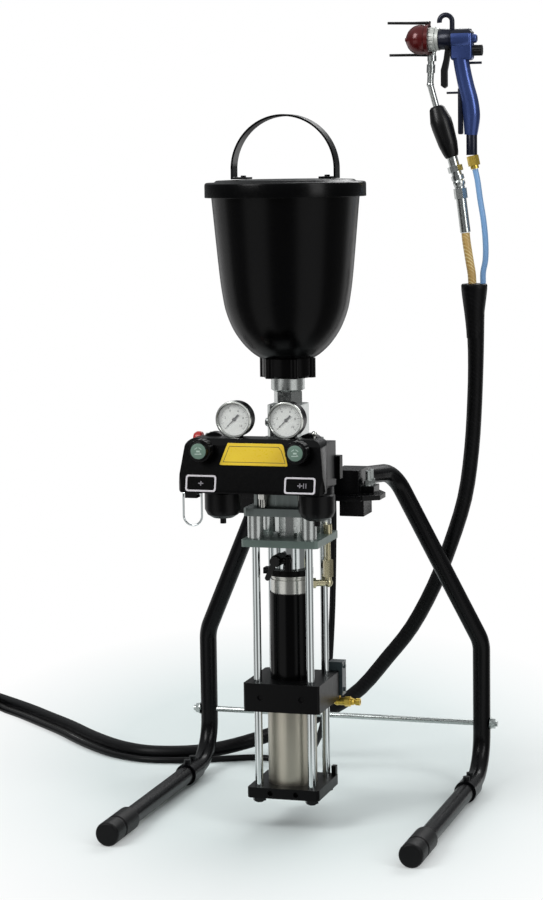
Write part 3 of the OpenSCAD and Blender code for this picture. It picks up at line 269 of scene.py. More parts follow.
# Turned stainless steel: bright, with a soft shine.
STAINLESS = Finish("stainless_turned", "c9cdcb", "b5b9b7", Surface.POLISHED, 1.0, 0.24, 0.06, 3.0, 0.001)
# Sawn steel block under the console: darker than the turned parts as painted shade, and duller.
SHADED_STEEL = Finish("steel_block_painted_shade", "767d7b", "5d6563", Surface.BRUSHED,
                    1.0, 0.34, 0.07, 2.0, 0.003)
# Rod nuts under the base plate: dark steel with a dull shine, their darkness painted shade under the plate.
NUT_SHADE = Finish("rod_nut_painted_shade", "1a1b1c", "101112", Surface.BRUSHED,
                     0.7, 0.36, 0.06, 2.0, 0.002)
# Clear anodised cylinder tube: warm grey and silky.
ANODISED_WARM = Finish("anodised_aluminium_warm", "bdb8aa", "a9a497", Surface.BRUSHED,
                       1.0, 0.34, 0.06, 0.8, 0.004)
# Nickel plate on small fittings: bright and a little warm.
NICKEL = Finish("nickel_plate", "d4d4ce", "b9bab5", Surface.POLISHED, 1.0, 0.22, 0.05, 3.0, 0.001)
# Zinc plate on the cross rod, nuts and studs: pale and slightly cloudy.
ZINC = Finish("zinc_plate", "c4c9c7", "a8afad", Surface.POLISHED, 1.0, 0.3, 0.08, 2.5, 0.002)
# Turned brass: a warm yellow shine.
BRASS = Finish("turned_brass", "f2d466", "dcb84c", Surface.POLISHED, 1.0, 0.32, 0.06, 2.5, 0.001)
# Nickelled brass that shows a little yellow.
PALE_BRASS = Finish("nickelled_brass", "cfc8a8", "b9b08c", Surface.POLISHED, 1.0, 0.28, 0.07, 2.5, 0.001)
# Gloss enamel on the cylinder tube: a deep black with clear reflections.
GLOSS_BLACK = Finish("gloss_enamel_black", "010101", "020203", Surface.PAINTED,
                     0.0, 0.16, 0.03, 4.0, 0.002, 1.22)
# Anodised plate: satin grey-green, half metal to the eye.
PLATE_GREEN = Finish("anodised_plate_green", "7b8c86", "66766f", Surface.BRUSHED,
                     0.3, 0.36, 0.08, 1.2, 0.003)
# Painted pilot box: satin dark blue-grey.
BOX_GREY = Finish("painted_box_grey", "2a3436", "374246", Surface.PAINTED,
                  0.0, 0.36, 0.05, 1.2, 0.008, 1.45)
# Printed polyester plate: an even satin yellow.
PLATE_YELLOW = Finish("polyester_plate_yellow", "f0d530", "e0b424", Surface.PAINTED,
                      0.0, 0.3, 0.04, 3.0, 0.002)
# Printed frame lines: matt white.
PRINT_WHITE = Finish("print_white", "dcd8dc", "cfcbd0", Surface.PAINTED, 0.0, 0.45, 0.04, 1.0, 0.002)
# Dial paint: matt white.
DIAL_WHITE = Finish("dial_paint_white", "f4f6f2", "eceee9", Surface.PAINTED, 0.0, 0.42, 0.04, 1.5, 0.002)
# Ink and needle paint: matt black.
INK_BLACK = Finish("ink_black", "141518", "1c1d21", Surface.PAINTED, 0.0, 0.45, 0.05, 1.0, 0.002)
# Knob insert: satin grey-green plastic.
KNOB_GREEN = Finish("knob_insert_green", "758f82", "5f7a6c", Surface.MOULDED,
                    0.0, 0.34, 0.06, 1.2, 0.006, 1.5)
# Push button: even red plastic.
BUTTON_RED = Finish("abs_moulded_red", "b8231b", "a41d16", Surface.MOULDED,
                    0.0, 0.32, 0.05, 1.2, 0.008, 1.53)
# Blue anodised gun body: a smooth metallic blue.
ANODISED_BLUE = Finish("anodised_aluminium_blue", "4a5f9a", "35467f", Surface.MOULDED,
                       0.6, 0.24, 0.04, 3.0, 0.001, 1.5)
# Anodised air cap: dark red and glossy.
CAP_RED = Finish("anodised_cap_red", "611414", "470e0e", Surface.MOULDED, 0.2, 0.2, 0.04, 2.5, 0.003, 1.5)
# Acetal guard, trigger and grip: even satin black.
ACETAL_BLACK = Finish("acetal_black", "050506", "0a0a0b", Surface.MOULDED,
                      0.0, 0.32, 0.06, 1.2, 0.006, 1.36)
# Polyester jacket of the fluid hose: crossed gold yarns.
JACKET_GOLD = Finish("hose_jacket_gold", "c9a15b", "f6e2a6", Surface.WOVEN, 0.0, 0.38, 0.06, 2.4, 0.06)
# Polyurethane air line: smooth light blue.
PU_BLUE = Finish("polyurethane_blue", "8fb9e6", "7ba9dd", Surface.MOULDED, 0.0, 0.24, 0.04, 2.0, 0.004)
# Woven nylon sleeve: matt black with crossed yarns.
SLEEVE_BLACK = Finish("woven_sleeve_black", "010102", "0c0c0e", Surface.WOVEN,
                      0.0, 0.44, 0.08, 3.0, 0.12, 1.26)
# Synthetic rubber hose cover: even matt black.
HOSE_BLACK = Finish("hose_cover_black", "030304", "08080a", Surface.MOULDED,
                    0.0, 0.4, 0.06, 1.2, 0.01, 1.26)
# Polished ABS of the console: a glossy black moulding.
ABS_GLOSS = Finish("abs_moulded_gloss", "010101", "040405", Surface.MOULDED,
                   0.0, 0.22, 0.04, 3.0, 0.004, 1.25)
# Printed marks on the panels: faint grey.
MARK_GREY = Finish("print_grey", "8d8a90", "7b787e", Surface.PAINTED, 0.0, 0.45, 0.04, 1.0, 0.002)
# Printed marks on the knobs: pale green.
KNOB_MARK = Finish("knob_print_pale", "c6d6cc", "aec2b6", Surface.PAINTED, 0.0, 0.42, 0.04, 1.0, 0.002)
# Pressed steel bezel: bright, with a soft edge to its reflections.
BEZEL = Finish("pressed_steel_bezel", "d9dbd6", "c6c9c4", Surface.POLISHED, 1.0, 0.22, 0.04, 1.2, 0.002)
# Satin aluminium ring: pale and even.
RING_GREY = Finish("satin_aluminium", "d0d2cd", "bfc2bd", Surface.POLISHED, 0.5, 0.42, 0.06, 1.2, 0.004)
# Anodised gun front: satin blue-black.
GUN_NAVY = Finish("anodised_aluminium_navy", "10162a", "0b101f", Surface.MOULDED,
                  0.3, 0.3, 0.06, 1.6, 0.006, 1.45)
# Gauge glass: clear and smooth.
GLASS = Finish("gauge_glass", "ffffff", "f4f8f8", Surface.CLEAR, 0.0, 0.04, 0.01, 4.0, 0.0, 1.49)

# The CAD nodes that each finish dresses.
FINISHED_NODES: tuple[tuple[Finish, str], ...] = (
    (POWDER_BLACK, "left_leg right_leg foot_collars stand_bracket"),
    (RUBBER_BLACK, "foot_caps"),
    (ZINC, "cross_rod bracket_bolts"),
    (ANODISED_BLACK, "base_plate valve_block clamp_ring relief_valve console_bracket"),
    (HARD_CHROME, "tie_rods inner_cylinder wire_hook"),
    (ANODISED_WARM, "air_cylinder"),
    (STAINLESS, "air_piston spacer_columns inlet_block gun_fittings"),
    (BOX_GREY, "pilot_box"),
    (BRASS, "air_inlet"),
    (GLOSS_BLACK, "hydraulic_cylinder"),
    (NICKEL, "cylinder_head outlet_fitting console_fittings gun_ring hose_coupling"),
    (PLATE_GREEN, "upper_plate"),
    (SHADED_STEEL, "fluid_block"),
    (PALE_BRASS, "side_pipe"),
    (ACETAL_BLACK, "relief_lever tip_guard gun_trigger filter_grip gun_knob"),
    (ABS_BLACK, "console_shell left_regulator right_regulator left_knob right_knob gauge_cases"),
    (PLATE_YELLOW, "front_plate"),
    (PRINT_WHITE, "label_frames"),
    (DIAL_WHITE, "gauge_dials"),
    (GLASS, "gauge_lenses"),
    (INK_BLACK, "left_needle right_needle"),
    (BUTTON_RED, "stop_button"),
    (PE_BLACK, "union_nut hopper_bowl hopper_lid lid_handle"),
    (ANODISED_BLUE, "gun_body"),
    (CAP_RED, "air_cap"),
    (SLEEVE_BLACK, "hose_sleeve sleeve_coil"),
    (HOSE_BLACK, "lead_hose"),
    (JACKET_GOLD, "fluid_hose"),
    (PU_BLUE, "air_hose"),
)


def deselect() -> None:
    """Leaves nothing selected."""
    bpy.ops.object.select_all(action="DESELECT")


def activate(piece: Piece) -> None:
    """Makes one piece the only selected and active one.

    Args:
        piece: The piece.
    """
    deselect()
    piece.select_set(True)
    bpy.context.view_layer.objects.active = piece


def modelled(name: str) -> Piece:
    """Names the piece that a primitive has just made and applies its place and size.

    Args:
        name: The piece's name.

    Returns:
        The piece.
    """
    piece = bpy.context.object
    piece.name = name
    bpy.ops.object.transform_apply(location=True, rotation=True, scale=True)
    return piece


def spin(degrees: float, axis: str) -> Matrix:
    """A turn about one of the axes."""
    return Matrix.Rotation(math.radians(degrees), 4, axis)


def standing(x: float, y: float, z: float) -> Matrix:
    """Place of an upright piece at a point in millimetres."""
    return Matrix.Translation(Vector((x, y, z)) * MM)


def facing(x: float, y: float, z: float, lean_deg: float = 0.0) -> Matrix:
    """Place of a drawing on an upright face: X to the right, Y up it and Z out of it, towards -Y."""
    return standing(x, y, z) @ spin(90 - lean_deg, "X")


def metres(points: Iterable[Point]) -> list[Point]:
    """Points given in millimetres, in metres."""
    return [(x * MM, y * MM, z * MM) for x, y, z in points]


def around(radius: float, degrees: float) -> Pair:
    """The point of a circle at an angle."""
    return (radius * math.cos(math.radians(degrees)), radius * math.sin(math.radians(degrees)))


def climb(t: float) -> float:
    """Rises smoothly from 0 to 1."""
    t = min(1.0, max(0.0, t))
    return t * t * (3 - 2 * t)


def smooth_route(points: Sequence[Point], steps: int) -> list[Vector]:
    """Points of a smooth curve through the given ones.

    Args:
        points: The route's own points.
        steps: How many points each span gets.

    Returns:
        The curve's points, the last one included.
    """
    p = [Vector(q) for q in points]
    route = []
    for i in range(len(p) - 1):
        a, b, c, d = p[max(0, i - 1)], p[i], p[i + 1], p[min(len(p) - 1, i + 2)]
        for k in range(steps):
            t = k / steps
            route.append(0.5 * (2 * b + (c - a) * t + (2 * a - 5 * b + 4 * c - d) * t * t
                                + (3 * b - a - 3 * c + d) * t ** 3))
    return route + [p[-1]]


def rounded(profile: Sequence[Pair], steps: int = 5) -> list[Pair]:
    """Smooths a turned profile by a curve through its points."""
    return [(p.x, p.z) for p in smooth_route([(r, 0, z) for r, z in profile], steps)]


@dataclass(frozen=True)
class Soft:
    """A CAD node that is shown in its own shape, with the small edge rounding of the real one.

    Attributes:
        node: The CAD node.
        finish: Its finish.
        slot: The record's material slot.
        edge: Width of the rounding, in millimetres.
        segments: Steps of the rounding.
        body: The CAD body that carries it.
    """

    node: str
    finish: Finish
    slot: str
    edge: float = 0.6
    segments: int = 2
    body: str = "base"


@dataclass
class Assembly:
    """A group of pieces on the CAD frame.

    Attributes:
        log: The group's own logger.
    """

    frame: dict[str, Any]
    log: logging.Logger = LOG

    def build(self) -> None:
        """Builds every piece of the group."""
        raise NotImplementedError

    def dress(self, piece: Piece, finish: Finish, slot: str, body: str = "base",
              nodes: Sequence[str] = (), smooth_deg: float = 35.0) -> Piece:
        """Finishes one piece: its material, body and the nodes that it stands for.

        Args:
            piece: The modelled piece.
            finish: Its finish.
            slot: The record's material slot. Not used.
            body: The CAD body that carries it.
            nodes: CAD nodes that it replaces.
            smooth_deg: Edges flatter than this are shaded smooth.

        Returns:
            The piece.
        """
        if piece.type == "MESH":
            activate(piece)
            bpy.ops.object.shade_smooth_by_angle(angle=math.radians(smooth_deg))
        piece.data.materials.clear()
        piece.data.materials.append(finish.build())
        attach(piece, body)
        if nodes:
            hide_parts(*nodes)
        self.log.info("%s rides %s", piece.name, body)
        return piece

    def lathe(self, name: str, profile: Sequence[Pair], place: Matrix,
              sides: int = 64, hollow: bool = False) -> Piece:
        """Models a turned piece by extruding and resizing a circle.

        Args:
            name: The piece's name.
            profile: Radius and height of each ring, in millimetres.
            place: Where the piece's own Z axis stands.
            sides: Corners of each ring.
            hollow: Whether the profile closes on its first ring.

        Returns:
            The piece.
        """
        deselect()
        radius, height = profile[0]
        bpy.ops.mesh.primitive_circle_add(vertices=sides, radius=radius * MM, location=(0, 0, height * MM),
                                          fill_type="NOTHING" if hollow else "NGON")
        piece = modelled(name)
        bpy.ops.object.mode_set(mode="EDIT")
        bpy.ops.mesh.select_all(action="SELECT")
        for new_radius, new_height in list(profile[1:]) + ([profile[0]] if hollow else []):
            bpy.ops.mesh.extrude_region_move(
                TRANSFORM_OT_translate={"value": (0, 0, (new_height - height) * MM)})
            ratio = new_radius / radius
            bpy.ops.transform.resize(value=(ratio, ratio, 1), center_override=(0, 0, new_height * MM))
            radius, height = new_radius, new_height
        bpy.ops.mesh.select_all(action="SELECT")
        bpy.ops.mesh.remove_doubles(threshold=MERGE_RINGS)
        bpy.ops.mesh.normals_make_consistent(inside=False)
        bpy.ops.object.mode_set(mode="OBJECT")
        piece.data.transform(place)
        return piece

    def block(self, name: str, low: Point, high: Point, edge: float = 0.6, segments: int = 3) -> Piece:
        """Models a box with rounded edges.

        Args:
            name: The piece's name.
            low: Its lower corner, in millimetres.
            high: Its upper corner, in millimetres.
            edge: Width of the rounding, in millimetres.
            segments: Steps of the rounding.

        Returns:
            The piece.
        """
        deselect()
        size = [(b - a) * MM for a, b in zip(low, high)]
        middle = [(a + b) / 2 * MM for a, b in zip(low, high)]
        bpy.ops.mesh.primitive_cube_add(size=1, location=middle, scale=size)
        piece = modelled(name)
        self.soften(piece, edge, segments)
        return piece

    def soften(self, piece: Piece, edge: float, segments: int = 2, limit_deg: float = 28.0) -> None:
        """Rounds a piece's sharp edges by a bevel.

        Args:
            piece: The piece.
            edge: Width of the bevel, in millimetres.
            segments: Steps of the bevel.
            limit_deg: Edges flatter than this stay as they are.
        """
        activate(piece)
        bevel = piece.modifiers.new("edge", "BEVEL")
        bevel.width = edge * MM
        bevel.segments = segments
        bevel.limit_method = "ANGLE"
        bevel.angle_limit = math.radians(limit_deg)
        bpy.ops.object.modifier_apply(modifier=bevel.name)

    def soft_copy(self, soft: Soft) -> Piece:
        """Rounds a CAD node's own shape, which the rounded piece then replaces.

        Args:
            soft: The node, with its finish and rounding.

        Returns:
            The rounded piece.
        """
        activate(self.frame["nodes"][soft.node])
        bpy.ops.object.duplicate()
        piece = bpy.context.object
        piece.name = soft.node + "_soft"
        bpy.ops.object.mode_set(mode="EDIT")
        bpy.ops.mesh.select_all(action="SELECT")
        bpy.ops.mesh.remove_doubles(threshold=MERGE_CORNERS)
        bpy.ops.mesh.dissolve_limited(angle_limit=math.radians(FLAT_DEG))
        bpy.ops.object.mode_set(mode="OBJECT")
        self.soften(piece, soft.edge, soft.segments)
        self.dress(piece, soft.finish, soft.slot, soft.body, (soft.node,), SOFT_SHADE_DEG)
        activate(piece)
        weigh = piece.modifiers.new("flat", "WEIGHTED_NORMAL")
        weigh.keep_sharp = True
        bpy.ops.object.modifier_apply(modifier=weigh.name)
        return piece

    def join(self, name: str, pieces: Sequence[Piece]) -> Piece:
        """Makes one mesh of several.

        Args:
            name: The joined piece's name.
            pieces: The pieces, of which the first one stays.

        Returns:
            The joined piece.
        """
        deselect()
        for piece in pieces:
            piece.select_set(True)
        bpy.context.view_layer.objects.active = pieces[0]
        bpy.ops.object.join()
        pieces[0].name = name
        return pieces[0]

    def copies(self, piece: Piece, places: Sequence[Matrix]) -> list[Piece]:
        """Puts a copy of a piece, with its own mesh, in each place, and takes the piece itself away.

        Args:
            piece: The piece, modelled at the frame's origin.
            places: Where each copy goes.

        Returns:
            The copies.
        """
        twins = []
        for place in places:
            twin = piece.copy()
            twin.data = piece.data.copy()
            twin.data.transform(place)
            bpy.context.collection.objects.link(twin)
            twins.append(twin)
        bpy.data.objects.remove(piece)
        return twins

    def words(self, text: str, size: float, place: Matrix) -> Piece:
        """Writes a figure as a thin mesh, centred on its place.

        Args:
            text: The figure.
            size: Its height, in millimetres.
            place: Its place.

        Returns:
            The figure's mesh.
        """
        deselect()
        bpy.ops.object.text_add(location=(0, 0, 0))
        letters = bpy.context.object.data
        letters.body = text
        letters.size = size * MM
        letters.extrude = 0.1 * MM
        letters.align_x = "CENTER"
        letters.align_y = "CENTER"
        bpy.ops.object.convert(target="MESH")
        piece = bpy.context.object
        piece.data.transform(place)
        return piece

    def tint(self, piece: Piece, finish: Finish, chosen: Callable[[Vector], bool]) -> None:
        """Gives some faces a second finish.

        Args:
            piece: The piece.
            finish: The second finish.
            chosen: Tells from a face's middle whether it gets that finish.
        """
        piece.data.materials.append(finish.build())
        index = len(piece.data.materials) - 1
        for face in piece.data.polygons:
            if chosen(face.center):
                face.material_index = index

    def tube(self, name: str, route: Sequence[Point], diameter: float, radii: Sequence[float] = (),
             sides: int = 6) -> Piece:
        """Draws a round line of constant or given radius.

        Args:
            name: The piece's name.
            route: Its centre points, in metres.
            diameter: Its diameter, in metres.
            radii: A factor on that diameter at each point, or nothing for 1.
            sides: Resolution of its roundness.

        Returns:
            A curve object.
        """
        line = bpy.data.curves.new(name, "CURVE")
        line.dimensions = "3D"
        spline = line.splines.new("POLY")
        spline.points.add(len(route) - 1)
        for i, point in enumerate(route):
            spline.points[i].co = (*point, 1.0)
            spline.points[i].radius = radii[i] if radii else 1.0
        line.bevel_depth = diameter / 2
        line.bevel_resolution = sides
        line.use_fill_caps = True
        spline.use_smooth = True
        piece = bpy.data.objects.new(name, line)
        bpy.context.collection.objects.link(piece)
        return piece

    def solid_tube(self, name: str, route: Sequence[Point], diameter: float,
                   radii: Sequence[float] = (), sides: int = 6) -> Piece:
        """Draws the same round line as a mesh.

        Args:
            name: The piece's name.
            route: Its centre points, in metres.
            diameter: Its diameter, in metres.
            radii: A factor on that diameter at each point, or nothing for 1.
            sides: Resolution of its roundness.

        Returns:
            A mesh object.
        """
        activate(self.tube(name, route, diameter, radii, sides))
        bpy.ops.object.convert(target="MESH")
        return bpy.context.object


# Centrelines of the hoses, in millimetres.
SLEEVE: list[Point] = [
    (229, 200, 806), (230, 200, 760), (230, 205, 700), (226, 214, 624), (218, 226, 542), (203, 242, 463),
    (176, 258, 386), (145, 272, 314), (105, 284, 243), (62, 292, 189), (14, 299, 133), (-38, 306, 95),
    (-95, 311, 66), (-150, 313, 42), (-208, 305, 23), (-255, 290, 14), (-300, 272, 12.3), (-350, 265, 12.3),
    (-397, 281, 12.3), (-441, 311, 12.3), (-488, 352, 12.3), (-545, 408, 12.3), (-606, 461, 12.3),
    (-667, 514, 12.3), (-760, 585.6, 12.3), (-828.5, 635.6, 12.3),
]
LEAD: list[Point] = [
    (20, 31, 540), (20, 66, 540), (20, 104, 520), (18, 126, 470), (15, 135, 400), (10, 143, 300),
    (-2, 165, 200), (-22, 205, 110), (-52, 250, 45), (-95, 288, 12), (-135, 300, 5.3), (-172, 300, 5.3),
    (-209, 284, 5.3), (-255, 263, 5.3), (-300, 248, 5.3), (-352, 243, 5.3), (-408, 262, 5.3),
    (-455, 294, 5.3), (-503, 336, 5.3), (-560, 393, 5.3), (-620, 446, 5.3), (-680, 498, 5.3),
    (-738, 545, 5.3), (-761, 563, 16), (-770, 578, 27), (-778, 598, 33), (-785, 619, 27), (-794, 637, 15),
    (-808, 660, 5.3), (-836, 705, 5.3), (-882, 746, 5.3), (-950, 765, 5.3), (-1040, 768, 5.3),
    (-1160, 768, 5.3), (-1226, 766, 5.3), (-1262, 750, 5.3), (-1273, 724, 5.3), (-1262, 699, 8),
    (-1236, 688, 12.3), (-1201, 687, 12.3),
]
FLUID: list[Point] = [
    (215.6, 200, 885.3), (217.2, 200, 870), (222, 200, 840), (225, 200, 822), (226, 200, 806.6),
]
AIR: list[Point] = [
    (231.2, 200, 983.3), (235, 200, 965), (239, 200, 936), (244, 200, 905), (247, 200, 873),
    (247, 200, 845), (243.2, 200, 824), (243, 200, 806.6),
]


@dataclass(frozen=True)
class Coil:
    """The sleeve's spare length: two flat layers that spiral in, climb, and spiral out again.

    Attributes:
        centre: Its middle in plan.
        radius: Its outer radius.
        pitch: How far each turn lies inside the one before.
        start_deg: Where the first turn starts.
        middle: Turns up to the climb from the lower layer to the upper one.
        turns: Turns in all.
        lie: Height of the lower layer's centreline.
        rise: Height between the layers.
        lead_in: Straight length before the first turn.
        tail: Start, end and step of the straight length after the last turn.
        bend: Length of the tail's first part, and its sideways slope.
        drop: Where on the tail it starts to sink to the floor, and over what length.
        points: Points for each turn.
    """

    centre: Pair = (-951, 512)
    radius: float = 172
    pitch: float = 25
    start_deg: float = 54
    middle: float = 3
    turns: float = 6.1
    lie: float = 12.3
    rise: float = 24.8
    lead_in: float = 26
    tail: tuple[int, int, int] = (22, 191, 24)
    bend: Pair = (30, 0.02)
    drop: Pair = (50, 110)
    points: int = 24

    def turn(self, t: float) -> Point:
        """The centreline's point after a number of turns.

        Args:
            t: How many turns.

        Returns:
            The point, in millimetres.
        """
        inward = self.pitch * (self.middle - abs(t - self.middle))
        x, y = around(self.radius - inward, self.start_deg + 360 * t)
        lift = self.rise * climb((t - self.middle + 0.25) * 2)
        return (self.centre[0] + x, self.centre[1] + y, self.lie + lift)

    def route(self) -> list[Point]:
        """The whole coil with its two straight ends.

        Returns:
            Its centreline, in millimetres.
        """
        start, last = self.turn(0), self.turn(self.turns)
        across, along = around(self.lead_in, self.start_deg)
        route = [(start[0] + along, start[1] - across, start[2])]
        route += [self.turn(i / self.points) for i in range(int(self.turns * self.points) + 1)]
        for d in range(*self.tail):
            sunk = climb((d - self.drop[0]) / self.drop[1])
            aside = min(d, self.bend[0]) * self.bend[1]
            route.append((last[0] - d, last[1] + aside, self.lie + (last[2] - self.lie) * (1 - sunk)))
        return route


@dataclass
class Hoses(Assembly):
    """The sleeved bundle, the two hoses that leave its mouth for the gun, and the lead hose.

    Attributes:
        sleeve, lead, fluid, air: The diameter of each.
        mouth: Middle of the sleeve's mouth.
        flare: Factors on the sleeve's diameter below its mouth.
        cuff_profile: The open, folded mouth, downwards from its middle.
        coil: The sleeve's spare length.
    """

    sleeve: float = 24
    lead: float = 10
    fluid: float = 13
    air: float = 9
    mouth: Point = (229, 200, 806)
    flare: tuple[float, ...] = (1.36, 1.34, 1.3, 1.24, 1.17, 1.1, 1.05, 1.02)
    cuff_profile: tuple[Pair, ...] = (
        (14.5, 30), (16.2, 0.6), (17.6, -0.4), (19.4, 0.2), (20.4, 2), (20.2, 9), (19, 20), (17.4, 32),
        (15.8, 44), (14.2, 58), (12.8, 72), (12.2, 84), (11.6, 84), (11.6, 60))
    coil: Coil = Coil()

    def build(self) -> None:
        """Builds the four cords and the sleeve's cuff."""
        coupling = self.frame["nodes"]["hose_coupling"]
        whole = list(SLEEVE) + self.coil.route()
        bundle = self.cord("hose_bundle", whole, self.sleeve, 3, SLEEVE_BLACK, "sleeve_black",
                           ("hose_sleeve", "sleeve_coil"), self.flare)
        self.declare(bundle, SLEEVE, whole, self.sleeve, "fitting", "loose", (coupling, self.cuff()))
        lead = self.cord("lead_line", LEAD, self.lead, 3, HOSE_BLACK, "hose_black", ("lead_hose",))
        self.declare(lead, LEAD, LEAD, self.lead, "object", "loose")
        fluid = self.cord("fluid_line", FLUID, self.fluid, 8, JACKET_GOLD, "hose_gold", ("fluid_hose",))
        self.declare(fluid, FLUID, FLUID, self.fluid, "object", "hanging")
        air = self.cord("air_line", AIR, self.air, 6, PU_BLUE, "hose_blue", ("air_hose",))
        self.declare(air, AIR, AIR, self.air, "object", "hanging")

    def cuff(self) -> Piece:
        """Models the sleeve's open, folded mouth.

        Returns:
            The cuff.
        """
        piece = self.lathe("sleeve_cuff", self.cuff_profile, standing(*self.mouth) @ spin(180, "X"), 48, True)
        return self.dress(piece, SLEEVE_BLACK, "sleeve_black", smooth_deg=60)

    def cord(self, name: str, points: Sequence[Point], diameter: float, steps: int, finish: Finish,
             slot: str, nodes: Sequence[str], flare: Sequence[float] = ()) -> Piece:
        """Draws one hose through its points, wider at its start where it flares.

        Args:
            name: The piece's name.
            points: The route in millimetres.
            diameter: The hose's diameter in millimetres.
            steps: Points for each span of the route.
            finish: Its finish.
            slot: The record's material slot.
            nodes: CAD nodes that it replaces.
            flare: Factors on the diameter over the first points.

        Returns:
            The curve.
        """
        route = smooth_route(metres(points), steps)
        radii = [flare[i] if i < len(flare) else 1.0 for i in range(len(route))]
        piece = self.tube(name, route, diameter * MM, radii, 5)
        return self.dress(piece, finish, slot, "base", nodes)

    def declare(self, piece: Piece, start: Sequence[Point], points: Sequence[Point], diameter: float,
                far_end: str, lay: str, pieces: Sequence[Piece] = ()) -> None:
        """Args:
            piece: The hose. Not used.
            start: The part of its route that starts at its exit, in millimetres. Not used.
            points: Its whole route, in millimetres. Not used.
            diameter: Its diameter, in millimetres. Not used.
            far_end: What its far end is. Not used.
            lay: How it lies. Not used.
            pieces: The pieces that go with it. Not used.
        """


@dataclass
class Stand(Assembly):
    """The two bent-tube legs and what holds them together.

    Attributes:
        line: Corners of the right leg's centreline.
        bends: Bend radius at each corner.
        tube_width: The tube's diameter.
        arc_steps: Steps of each bend.
        softened: CAD nodes that keep their shape.
    """

    line: tuple[Point, ...] = ((230, -248, 18.5), (230, 238, 18.5), (230, 238, 232), (100, 186, 510),
                               (73, 84, 516), (73, 6, 516))
    bends: tuple[float, ...] = (0, 65, 58, 46, 60, 0)
    tube_width: float = 28
    arc_steps: int = 12
    softened: tuple[Soft, ...] = (
        Soft("foot_caps", RUBBER_BLACK, "foot_rubber", 1.2, 3),
        Soft("foot_collars", POWDER_BLACK, "stand_paint", 0.8),
        Soft("stand_bracket", POWDER_BLACK, "stand_paint", 0.8),
        Soft("bracket_bolts", ZINC, "zinc", 0.4))

    def build(self) -> None:
        """Builds the legs and softens the rest."""
        for side, name in ((-1, "left_leg"), (1, "right_leg")):
            route = [Vector((side * p.x, p.y, p.z)) for p in self.bent_line()]
            leg = self.solid_tube(name + "_tube", route, self.tube_width * MM, sides=10)
            self.dress(leg, POWDER_BLACK, "stand_paint", nodes=(name,))
        for soft in self.softened:
            self.soft_copy(soft)

    def bent_line(self) -> list[Vector]:
        """Draws the leg's centreline, with its bends as arcs.

        Returns:
            The centreline's points, in metres.
        """
        points = [Vector(p) for p in self.line]
        route = [points[0]]
        for before, corner, after, bend in zip(points, points[1:], points[2:], self.bends[1:]):
            back, ahead = (before - corner).normalized(), (after - corner).normalized()
            half = back.angle(ahead) / 2
            middle = corner + (back + ahead).normalized() * bend / math.sin(half)
            reach = bend / math.tan(half)
            start, end = corner + back * reach - middle, corner + ahead * reach - middle
            route += [middle + self.spoke(start, end, k / self.arc_steps) for k in range(self.arc_steps + 1)]
        return [p * MM for p in route + [points[-1]]]

    @staticmethod
    def spoke(start: Vector, end: Vector, share: float) -> Vector:
        """A spoke between two spokes of one bend."""
        angle = start.angle(end)
        return (start * math.sin((1 - share) * angle) + end * math.sin(share * angle)) / math.sin(angle)


@dataclass
class Column(Assembly):
    """The pump: plates, cylinders and blocks on their tie rods.

    Attributes:
        softened: CAD nodes that keep their shape.
        rods: The tie rods with their nuts.
        nut_gap: How far above the base plate's underside the painted shade on the nuts ends.
        screws: Heads of the pilot box's screws.
        screw_profile: One head, outwards from the box.
    """

    softened: tuple[Soft, ...] = (
        Soft("base_plate", ANODISED_BLACK, "anodised_black", 0.9),
        Soft("valve_block", ANODISED_BLACK, "anodised_black", 1.2),
        Soft("pilot_box", BOX_GREY, "pilot_grey", 1.0),
        Soft("upper_plate", PLATE_GREEN, "plate_green", 0.7),
        Soft("clamp_ring", ANODISED_BLACK, "anodised_black", 0.5),
        # Painted shade: the fluid block under the console is coloured darker than the other steel.
        Soft("fluid_block", SHADED_STEEL, "steel", 0.8),
        Soft("spacer_columns", STAINLESS, "steel", 0.5),
        Soft("inlet_block", STAINLESS, "steel", 0.8),
        Soft("side_pipe", PALE_BRASS, "return_brass", 0.4),
        Soft("air_inlet", BRASS, "brass", 0.4),
        Soft("outlet_fitting", NICKEL, "nickel", 0.4),
        Soft("relief_valve", ANODISED_BLACK, "anodised_black", 0.4),
        Soft("relief_lever", ACETAL_BLACK, "black_plastic", 0.6, body="relief"))
    rods: Soft = Soft("tie_rods", HARD_CHROME, "chrome_rod", 0.3)
    nut_gap: float = 0.2
    screws: tuple[Point, ...] = ((63, 9, 192), (63, 21, 192), (63, 9, 234), (63, 21, 234))
    screw_profile: tuple[Pair, ...] = ((1.9, 0), (1.9, 0.7), (1.6, 1.0), (1.0, 1.0), (0.9, 0.4))

    def build(self) -> None:
        """Softens the blocks, plates and rods, paints shade on the rod nuts under the base plate, and adds
        the pilot box's screws.
        """
        for soft in self.softened:
            self.soft_copy(soft)
        rods = self.soft_copy(self.rods)
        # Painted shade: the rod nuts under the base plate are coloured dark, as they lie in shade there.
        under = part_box("base_plate")[0][2]
        self.tint(rods, NUT_SHADE, lambda p: p.z < under + self.nut_gap * MM)
        head = self.lathe("screw", self.screw_profile, spin(90, "Y"), 20)
        heads = self.copies(head, [standing(*place) for place in self.screws])
        self.dress(self.join("pilot_screws", heads), ZINC, "zinc")


@dataclass(frozen=True)
class Stroke:
    """One raised line on a face, in the face's own millimetres.

    Attributes:
        start: Where its middle line starts.
        end: Where its middle line ends.
        width: Its width.
        height: How far it stands out of the face.
    """

    start: Pair
    end: Pair
    width: float
    height: float


